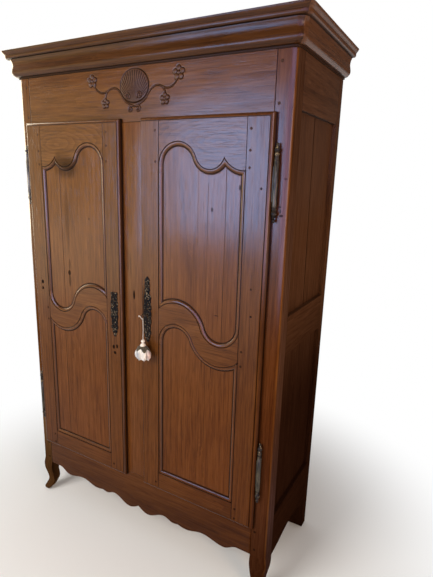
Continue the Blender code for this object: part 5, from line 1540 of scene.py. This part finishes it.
# Stains and worm holes of the doors' members, dirt and a painted shadow beside the right plate, and
# cracks of their panels
DOOR_SPOTS = {
    "left": {
        "top_rail": [(-0.350, 1.660, 0.085, 0.052, 0.55), (-0.378, 1.678, 0.036, 0.030, 0.55),
                     (-0.335, 1.642, 0.050, 0.030, 0.75)],
        "hinge_stile": [(-0.520, 1.137, 0.008, 0.011, 1.0), (-0.521, 1.108, 0.007, 0.009, 1.0)],
        "meeting_stile": [(-0.102, 0.912, 0.007, 0.010, 0.95), (-0.083, 0.917, 0.006, 0.010, 0.95),
                          (-0.095, 0.887, 0.008, 0.008, 0.95)],
        "upper_panel": [(-0.353, 1.198, 0.009, 0.013, 0.90), (-0.352, 1.165, 0.007, 0.030, 0.55),
                        (-0.350, 1.235, 0.006, 0.028, 0.45), (-0.352, 1.440, 0.020, 0.160, 0.30),
                        (-0.345, 1.636, 0.078, 0.050, 0.62), (-0.226, 1.439, 0.004, 0.005, 0.6)],
    },
    "right": {
        "hinge_stile": [(0.5414, 1.5875, 0.0040, 0.0045, 0.95),
                        (0.5218, 1.2521, 0.0040, 0.0045, 0.9),
                        (0.5257, 1.1560, 0.0045, 0.0045, 0.9)],
        # Dirt and painted shadow down the left side of the plate
        "meeting_stile": [(0.062, 1.100, 0.022, 0.110, 0.60), (0.084, 0.985, 0.030, 0.050, 0.35)],
        "upper_panel": [(0.4615, 1.588, 0.0040, 0.010, 0.85), (0.357, 1.510, 0.0045, 0.008, 0.75),
                        (0.3854, 1.1335, 0.014, 0.0025, 0.8)],
    },
}
PANEL_CRACKS = {
    "left": {"upper": [("X", -0.385, 0.0022, 1.0, 1.72, 0.90)],
             "lower": [("X", -0.395, 0.0018, 0.3, 1.1, 0.90)]},
    "right": {"upper": [("X", 0.410, 0.0013, 1.0, 1.70, 0.90), ("X", 0.3400, 0.0011, 1.0, 1.60, 0.75),
                        ("X", 0.300, 0.0009, 1.0, 1.72, 0.55)],
              "lower": [("X", 0.345, 0.0010, 0.3, 1.1, 0.55)]},
}


def make_door(word, side):
    meeting = partial(stile_outline, INNER_JOINT, 0, MEETING_EDGE[side], MEETING_LIP_SHARE)
    members = [
        ("top_rail", partial(rail_outline, top_rail_edge, DOOR_TOP), "X", (0.385, -0.25, 1.735),
         {"tilt": 0.0, "oval": True, "ring_share": 0.30}),
        ("mid_rail", mid_rail_outline, "X", (0.25, -0.14, 1.06), {"tilt": 5.0}),
        ("bottom_rail", partial(rail_outline, bottom_rail_edge, DOOR_BOTTOM), "X",
         (0.20, -0.12, 0.35), {}),
        ("hinge_stile", partial(stile_outline, OUTER_JOINT, -1, HINGE_EDGE, 1), "Z",
         (0.62, -0.16, 1.1), {"tilt": 1.5}),
        ("meeting_stile", meeting, "Z", (0.02, -0.16, 1.1), {"tilt": 1.5}),
    ]
    spots, cracks = DOOR_SPOTS[word], PANEL_CRACKS[word]
    seed = 70 if side > 0 else 80
    for number, (member, outline, grain, (x, y, z), look) in enumerate(members):
        door_member(word, side, member, outline, grain, seed + number, centre=(side * x, y, z),
                    spots=spots.get(member, ()), **look)
    make_panel(word, side, "upper", (top_rail_edge, mid_rail_top_edge), seed + 5,
               lines=cracks["upper"], spots=spots["upper_panel"],
               centre=(side * 0.27, -0.34, 1.4), tilt=2.5)
    make_panel(word, side, "lower", (mid_rail_bottom_edge, bottom_rail_edge), seed + 6,
               lines=cracks["lower"], centre=(side * 0.33, -0.35, 0.6), tilt=2.5)


# Hinges

HINGE_X = 0.584
HINGE_Y = -0.0115
HINGE_BOTTOMS = {"upper": 1.480, "lower": 0.430}
HINGE_LENGTH = 0.250
HINGE_STEPS = 28
BARREL_TOP = 0.193
LEAF_HALF = 0.001
LEAF_DEPTH = 0.030

# Profiles of (radius, height): runs of points, each run smoothed with so many steps, or as it is
LOWER_FINIAL = [
    (4, [(0.0006, 0.0), (0.0040, 0.0022), (0.0050, 0.0062), (0.0046, 0.0100), (0.0026, 0.0135)]),
    (3, [(0.0034, 0.0150), (0.0058, 0.0168), (0.0060, 0.0186), (0.0044, 0.0205)]),
    (4, [(0.0062, 0.0225), (0.0088, 0.0265), (0.0088, 0.0325), (0.0060, 0.0372)]),
    (0, [(0.0050, 0.0392), (0.0066, 0.0404), (0.0078, 0.0424), (0.0078, 0.0446),
         (0.0070, 0.0456), (0.0070, 0.0490), (0.0076, 0.0496), (0.0076, 0.0507)]),
]
UPPER_FINIAL = [
    (0, [(0.0076, 0.0003), (0.0076, 0.0016), (0.0070, 0.0022), (0.0070, 0.0190),
         (0.0078, 0.0198), (0.0078, 0.0222), (0.0066, 0.0236), (0.0048, 0.0262)]),
    (4, [(0.0050, 0.0280), (0.0086, 0.0318), (0.0088, 0.0370), (0.0056, 0.0420)]),
    (3, [(0.0034, 0.0440), (0.0054, 0.0462), (0.0054, 0.0478), (0.0030, 0.0500)]),
    (3, [(0.0046, 0.0520), (0.0044, 0.0545), (0.0022, 0.0565),
         (0.0006, HINGE_LENGTH - BARREL_TOP)]),
]
BARREL = [
    (0.0060, 0.0512), (0.0078, 0.0514), (0.0082, 0.0520), (0.0082, 0.0540), (0.0076, 0.0546),
    (0.0076, 0.0562), (0.0082, 0.0568), (0.0080, 0.1220), (0.0082, 0.1872), (0.0076, 0.1880),
    (0.0076, 0.1894), (0.0082, 0.1900), (0.0082, 0.1922), (0.0078, 0.1928), (0.0060, 0.1930),
]


def finial_points(runs, base, bottom):
    points = []
    for steps, run in runs:
        raised = [Vector((radius, base + height)) for radius, height in run]
        points += smooth_line(raised, steps) if steps else raised
    return [(max(0.0003, radius), bottom + height) for radius, height in points]


def make_hinge(word, side, place, bottom):
    centre = (side * HINGE_X, HINGE_Y)
    lit_copy = side < 0 and place == "upper"
    node = word + "_" + place + "_hinge"
    pin = new_mesh()
    add_lathe(pin, finial_points(LOWER_FINIAL, 0.0, bottom), centre, HINGE_STEPS)
    add_lathe(pin, finial_points(UPPER_FINIAL, BARREL_TOP, bottom), centre, HINGE_STEPS)
    for low_z, high_z in ((0.016, 0.047), (0.197, 0.226)):
        add_board(pin, (centre[0] - LEAF_HALF, HINGE_Y, bottom + low_z),
                  (centre[0] + LEAF_HALF, HINGE_Y + LEAF_DEPTH, bottom + high_z), 0.0002)
    dress(node + "_pin", pin, "case", LIT_BRASS if lit_copy else IRON)
    barrel = new_mesh()
    profile = [(radius, bottom + height) for radius, height in BARREL]
    add_lathe(barrel, profile, centre, HINGE_STEPS)
    low_x, high_x = sorted((side * (HINGE_EDGE - 0.020), side * (HINGE_X - 0.004)))
    add_board(barrel, (low_x, HINGE_Y - LEAF_HALF, bottom + 0.067),
              (high_x, HINGE_Y + LEAF_HALF, bottom + 0.177), 0.0002)
    dress(node + "_barrel", barrel, word + "_door", LIT_BRASS if lit_copy else BRASS)


# Pierced plates

PLATE_THICKNESS = 0.002
PLATE_BEVEL = 0.0003
LEFT_PLATE = (-0.092, 1.073)

# Half outlines: height from the keyhole and half width; holes: height, distance from the
# middle, size
PLATE_BODY = [
    (-0.113, 0.0012), (-0.108, 0.0050), (-0.103, 0.0085), (-0.098, 0.0080), (-0.090, 0.0135),
    (-0.082, 0.0120), (-0.076, 0.0170), (-0.068, 0.0180), (-0.060, 0.0150), (-0.050, 0.0172),
    (-0.042, 0.0150), (-0.032, 0.0186), (-0.020, 0.0190), (-0.012, 0.0160), (-0.004, 0.0186),
    (0.010, 0.0186), (0.018, 0.0160), (0.026, 0.0190), (0.036, 0.0188), (0.046, 0.0152),
    (0.054, 0.0168), (0.062, 0.0150), (0.070, 0.0182), (0.078, 0.0160),
]
PLATE_FINIAL = [
    (0.084, 0.0110), (0.090, 0.0085), (0.096, 0.0110), (0.103, 0.0130), (0.110, 0.0095),
    (0.117, 0.0118), (0.124, 0.0122), (0.130, 0.0090), (0.137, 0.0118), (0.143, 0.0100),
    (0.148, 0.0060), (0.155, 0.0010),
]
PLATE_HOLES = [
    (-0.094, 0.0, 0.0030), (-0.080, 0.0070, 0.0028), (-0.066, 0.0, 0.0038), (-0.056, 0.0090, 0.0026),
    (-0.046, 0.0, 0.0030), (-0.034, 0.0100, 0.0032), (-0.024, 0.0, 0.0026), (0.016, 0.0110, 0.0026),
    (0.024, 0.0, 0.0034), (0.033, 0.0105, 0.0032), (0.044, 0.0, 0.0034), (0.054, 0.0085, 0.0026),
    (0.064, 0.0, 0.0036), (0.072, 0.0100, 0.0024),
]
FINIAL_HOLES = [(0.101, 0.0055, 0.0022), (0.112, 0.0, 0.0030), (0.124, 0.0055, 0.0022),
                (0.135, 0.0, 0.0028)]
# Nails: distance from the middle and height; their heads: radius and how far they stand out
NAILS = [(0.0135, -0.070), (-0.0135, -0.070), (0.0140, 0.0), (-0.0140, 0.0)]
NAIL_HEAD = [(0.0022, 0.0), (0.0021, 0.0004), (0.0014, 0.0009), (0.0004, 0.0011)]


def drop_hole(across, up, size, straight, steps=14):
    """A three-lobed hole, upright where it lies on the plate's middle line."""
    points = []
    for step in range(steps):
        angle = 2 * pi * step / steps
        reach = size * (1.0 + 0.35 * cos(3 * angle + (pi / 2 if straight else 0)))
        points.append((across + reach * 0.9 * cos(angle), up + reach * sin(angle)))
    return points


def make_plate(word, centre_x, centre_z, outline, holes, keyhole):
    """A flat pierced plate from its outline and holes, with the heads of its nails."""
    curve = bpy.data.curves.new(word + "_plate", "CURVE")
    curve.dimensions = "2D"
    curve.fill_mode = "BOTH"
    curve.extrude = PLATE_THICKNESS / 2 - PLATE_BEVEL
    curve.bevel_depth = PLATE_BEVEL
    curve.bevel_resolution = 1
    smooth = smooth_line(outline, 3)
    half = [(max(0.0006, width - PLATE_BEVEL), up) for up, width in smooth]
    loops = [half + [(-across, up) for across, up in reversed(half)]]
    for up, across, size in holes:
        for place in ((across, -across) if across else (0.0,)):
            loops.append(drop_hole(place, up, size, not across))
    if keyhole:
        round_part = round_points((0, 0), 0.0050, 16, radians(-62), radians(242))
        loops.append(round_part + [(-0.0022, -0.016), (0.0022, -0.016)])
    for points in loops:
        spline = curve.splines.new("POLY")
        spline.points.add(len(points) - 1)
        for knot, (across, up) in zip(spline.points, points):
            knot.co = (across, up, 0, 1)
        spline.use_cyclic_u = True
    flat = placed(word + "_plate", curve)
    depsgraph = bpy.context.evaluated_depsgraph_get()
    mesh = bpy.data.meshes.new_from_object(flat.evaluated_get(depsgraph))
    bpy.data.objects.remove(flat)
    bm = new_mesh()
    bm.from_mesh(mesh)
    bpy.data.meshes.remove(mesh)
    depth = FACE - GAP - PLATE_THICKNESS / 2
    for vert in bm.verts:
        across, up, out = vert.co
        vert.co = (centre_x + across, depth - out, centre_z + up)
    ends = [(0.0, -0.103), (0.0, 0.078), (0.0, 0.1475)] if keyhole else [(0.0, -0.103), (0.0, 0.076)]
    for across, up in ends + NAILS:
        head = [(radius, depth - PLATE_THICKNESS / 2 - out) for radius, out in NAIL_HEAD]
        add_stud(bm, centre_x + across, centre_z + up, head, 12)
    dress(word + "_door_escutcheon", bm, word + "_door", PLATE_IRON, 40)


# Lock: a screw's head as radius and how far it stands out, and the bolt's hole from and to
SCREW_HEAD = [(0.0036, 0.0), (0.0034, 0.0007), (0.0022, 0.0015), (0.0005, 0.0018)]
SCREW_INSET = 0.008
LOCK_WALL = 0.002
BOLT_HOLE = (1.1022, 1.1188)


def make_lock():
    low, high = case_box("lock_case")
    front, rear = low.y + 0.0012, high.y - 0.0028
    bm = new_mesh()
    add_board(bm, (low.x, low.y, low.z), (high.x, front, high.z), 0.0004)
    add_board(bm, (low.x, rear, low.z), (high.x, high.y, high.z), 0.0006)
    walls = [
        (low.x, low.z, high.x, low.z + LOCK_WALL), (low.x, high.z - LOCK_WALL, high.x, high.z),
        (high.x - LOCK_WALL, low.z, high.x, high.z),
        (low.x, low.z, low.x + LOCK_WALL, BOLT_HOLE[0]),
        (low.x, BOLT_HOLE[1], low.x + LOCK_WALL, high.z),
    ]
    for x0, z0, x1, z1 in walls:
        add_board(bm, (x0, front, z0), (x1, rear, z1), 0.0003)
    for x in (low.x + SCREW_INSET, high.x - SCREW_INSET):
        for z in (low.z + SCREW_INSET, high.z - SCREW_INSET):
            add_stud(bm, x, z, [(radius, high.y + out) for radius, out in SCREW_HEAD])
    dress("lock_case", bm, "right_door", IRON)
    bm = new_mesh()
    add_board(bm, *case_box("lock_bolt"), 0.0006)
    dress("lock_bolt", bm, "lock_bolt", BRASS)


BUTTON_PLACE = (-0.098, 1.050)
BUTTON_TAIL = 0.012
BUTTON_ARM = 0.045
BUTTON_HALF_WIDTH = 0.0070
BUTTON_THICKNESS = 0.007
BUTTON_CLEARANCE = 0.0008


def make_turn_button():
    x, z = BUTTON_PLACE
    front = FRONT_THICKNESS + BUTTON_CLEARANCE
    width, corner = BUTTON_HALF_WIDTH, 0.004
    top, foot = z + BUTTON_TAIL, z - BUTTON_ARM
    outline = [(x - width, foot + corner)]
    outline += round_points((x - width + corner, foot + corner), corner, 5, pi, 1.5 * pi)[1:]
    outline += round_points((x + width - corner, foot + corner), corner, 5, 1.5 * pi, 2 * pi)
    outline += round_points((x, top - width), width, 12, 0, pi)
    bm = new_mesh()
    add_flat(bm, outline, "Y", front, front + BUTTON_THICKNESS, 0.0008, 0.3)
    boss = [(0.0060, DOOR_BACK + GAP), (0.0064, DOOR_BACK + 0.0010), (0.0064, front + 0.003)]
    add_stud(bm, x, z, boss, 24)
    finish_piece("turn_button_dressed", bm, "turn_button", wood("turn_button_wood", "raw", "Z", 91),
                 ("left_door_turn_button",))


# Pegs of the joints

def add_peg(bm, x, z, front, size=0.0042, proud=0.0006):
    """A squarish peg that stands a hair proud, each turned its own way."""
    turn = (x * 131 + z * 71) % 1.5
    rings = []
    sections = ((size * 1.30, 0.0003, 1.0), (size * 1.05, -0.0002, 1.0), (size, -proud, 0.80),
                (size * 0.6, -proud * 1.3, 0.55), (size * 0.1, -proud * 1.35, 0.45))
    for radius, depth, _ in sections:
        ring = []
        for step in range(12):
            angle = 2 * pi * step / 12 + turn
            square = 1 / max(abs(cos(angle - turn)), abs(sin(angle - turn)))
            reach = radius * (0.55 + 0.45 * square)
            ring.append((x + reach * cos(angle), front + depth, z + reach * sin(angle)))
        rings.append(ring)
    skin(bm, rings, [shade for _, _, shade in sections])


CASE_PEGS = [(0.578, 1.966), (0.576, 1.846), (0.577, 0.286), (0.579, 0.205)]
DOOR_PEGS = [
    (0.4965, 1.772), (0.4965, 1.706), (0.4965, 1.652), (0.1170, 1.775), (0.1190, 1.668),
    (0.4955, 1.020), (0.4955, 0.965), (0.4970, 0.372), (0.4970, 0.330), (0.1180, 0.345),
]
LEFT_DOOR_EXTRA_PEG = (-0.1170, 1.725)
DOOR_PEG_SIZE = 0.0038


def make_pegs():
    case = new_mesh()
    for side in SIDES.values():
        for x, z in CASE_PEGS:
            add_peg(case, side * x, z, 0.0)
    peg_wood = wood("peg_wood", "side", "Z", 95)
    finish_piece("case_pegs", case, "case", peg_wood)
    for word, side in SIDES.items():
        bm = new_mesh()
        for x, z in DOOR_PEGS:
            add_peg(bm, side * x, z, FACE, DOOR_PEG_SIZE)
        if side < 0:
            add_peg(bm, *LEFT_DOOR_EXTRA_PEG, FACE, DOOR_PEG_SIZE)
        finish_piece(word + "_door_pegs", bm, word + "_door", peg_wood)


make_centre_post()
for word, side in SIDES.items():
    make_side(word, side)
    make_front_post(word, side)
    make_door(word, side)
    for place, bottom in HINGE_BOTTOMS.items():
        make_hinge(word, side, place, bottom)
    number = 5 if side > 0 else 6
    repaint("back_panel_" + word, "back", "Z", 100 + number, centre=(side * 0.3, 0.4, 1.1))
    repaint("cleat_" + word, "raw", "Y", 110 + number)
make_apron()
make_frieze()
make_cornice()
make_plate("right", KEY_X, KEY_HEIGHT, PLATE_BODY + PLATE_FINIAL, PLATE_HOLES + FINIAL_HOLES, True)
make_plate("left", *LEFT_PLATE, PLATE_BODY, PLATE_HOLES, False)
make_lock()
make_turn_button()
make_pegs()
for number, node in enumerate(("back_top_rail", "back_bottom_rail")):
    repaint(node, "back", "X", 120 + number, centre=(0, 0.4, 1.9 - number))
for number, node in enumerate(("floor_board", "dust_board", "shelf", "hanging_rail")):
    repaint(node, "raw", "X", 130 + number, centre=(0.1, 0.1, 1.2))


# Stage and light

def ray_is(tree, kind):
    return add(tree, "LightPath", output="Is " + kind + " Ray")


def make_stage():
    """A pale floor that fades to white away from the wardrobe."""
    bm = bmesh.new()
    for x, y in ((-14, -14), (14, -14), (14, 14), (-14, 14)):
        bm.verts.new((x, y, -0.0005))
    bm.faces.new(bm.verts)
    mesh = bpy.data.meshes.new("floor")
    bm.to_mesh(mesh)
    bm.free()
    material, tree, here = new_material("floor_paint")
    surfaced(material, Base_Color=(0.90, 0.92, 0.94), Roughness=0.9, Specular_IOR_Level=0.2)
    paint = Field(tree, tree.nodes["Principled BSDF"].outputs[0])
    flat = add(tree, "VectorMath", {0: here, 1: (1, 1, 0)}, operation="MULTIPLY")
    away = add(tree, "VectorMath", {0: flat}, "Value", operation="LENGTH")
    seen = larger(ray_is(tree, "Camera"), larger(ray_is(tree, "Glossy"), ray_is(tree, "Transmission")))
    white = add(tree, "Emission", {"Color": (1, 1, 1), "Strength": 1.0})
    mix = add(tree, "MixShader", {0: between(away, 0.65, 1.60) * seen, 1: paint, 2: white})
    plug(tree, tree.nodes["Material Output"].inputs["Surface"], mix)
    mesh.materials.append(material)
    placed("floor", mesh)


def make_world():
    """Soft light from all sides; what mirrors it sees a bright room only towards the left."""
    world = bpy.data.worlds.new("studio")
    bpy.context.scene.world = world
    world.use_nodes = True
    tree = world.node_tree
    direction = parts_of(add(tree, "TexCoord", output="Generated"))
    toward = scaled(direction["Y"], 0.30, direction["X"] * -0.95)
    open_side = between(toward, 0.40, 0.80, 0.10, 1.0)
    glossy = ray_is(tree, "Glossy")
    seen = larger(ray_is(tree, "Camera"), larger(glossy * open_side, ray_is(tree, "Transmission")))
    colour = blended(seen, (0.42, 0.41, 0.40), (1.0, 1.0, 1.0))
    colour = blended(glossy * (1.0 - open_side), colour, (0.06, 0.055, 0.05))
    background = tree.nodes["Background"]
    plug(tree, background.inputs["Color"], colour)
    background.inputs["Strength"].default_value = 1.0


def area_light(name, place, target, size, colour, power, diffuse=False, glossy=True):
    data = bpy.data.lights.new(name, "AREA")
    data.shape = "RECTANGLE"
    data.size, data.size_y = size
    data.color = colour
    data.energy = power
    light = placed(name, data)
    shift = Vector((0, CASE_SHIFT, 0))
    light.location = Vector(place) + shift
    aim = Vector(target) + shift - light.location
    light.rotation_euler = aim.to_track_quat("-Z", "Y").to_euler()
    light.visible_diffuse = diffuse
    light.visible_glossy = glossy
    light.visible_camera = False


# Name: place, target, width and height, colour, power, whether diffuse, whether mirrored
LIGHTS = {
    "soft_key": ((-1.1, -3.1, 2.6), (0.0, 0.0, 1.2), (2.0, 2.0), (1.0, 0.94, 0.86), 122.0, True, False),
    "window": ((-0.94, -2.5, 1.70), (-0.9, 0.0, 1.69), (1.32, 1.22), (0.28, 0.53, 1.0), 64.0),
    "pale_wall": ((-2.9, -2.5, 1.35), (-1.0, 0.0, 1.35), (2.0, 2.4), (1.0, 0.78, 0.30), 17.0),
    "left_window": ((-3.2, 1.6, 1.6), (-0.3, 0.0, 1.4), (1.6, 2.6), (1.0, 0.86, 0.62), 52.0),
    "left_ceiling": ((-2.7, 0.3, 3.7), (-0.4, 0.0, 1.8), (1.6, 1.6), (1.0, 0.86, 0.62), 60.0),
    "left_glow": ((-3.4, 0.05, 2.0), (-0.3, 0.0, 1.4), (1.7, 2.0), (1.0, 0.84, 0.58), 90.0),
    "front_glow": ((0.45, -2.7, 1.66), (0.0, 0.0, 1.4), (1.2, 1.52), (0.48, 0.50, 1.0), 34.0),
    "near_window": ((2.1, -2.1, 1.7), (-0.1, 0.0, 1.4), (2.6, 2.6), (0.50, 0.50, 1.0), 85.0),
    "warm_lamp": ((3.4, -1.6, 1.6), (0.4, 0.0, 1.2), (1.0, 1.6), (1.0, 0.62, 0.34), 36.0, True),
}

make_stage()
make_world()
for name, row in LIGHTS.items():
    area_light(name, *row)

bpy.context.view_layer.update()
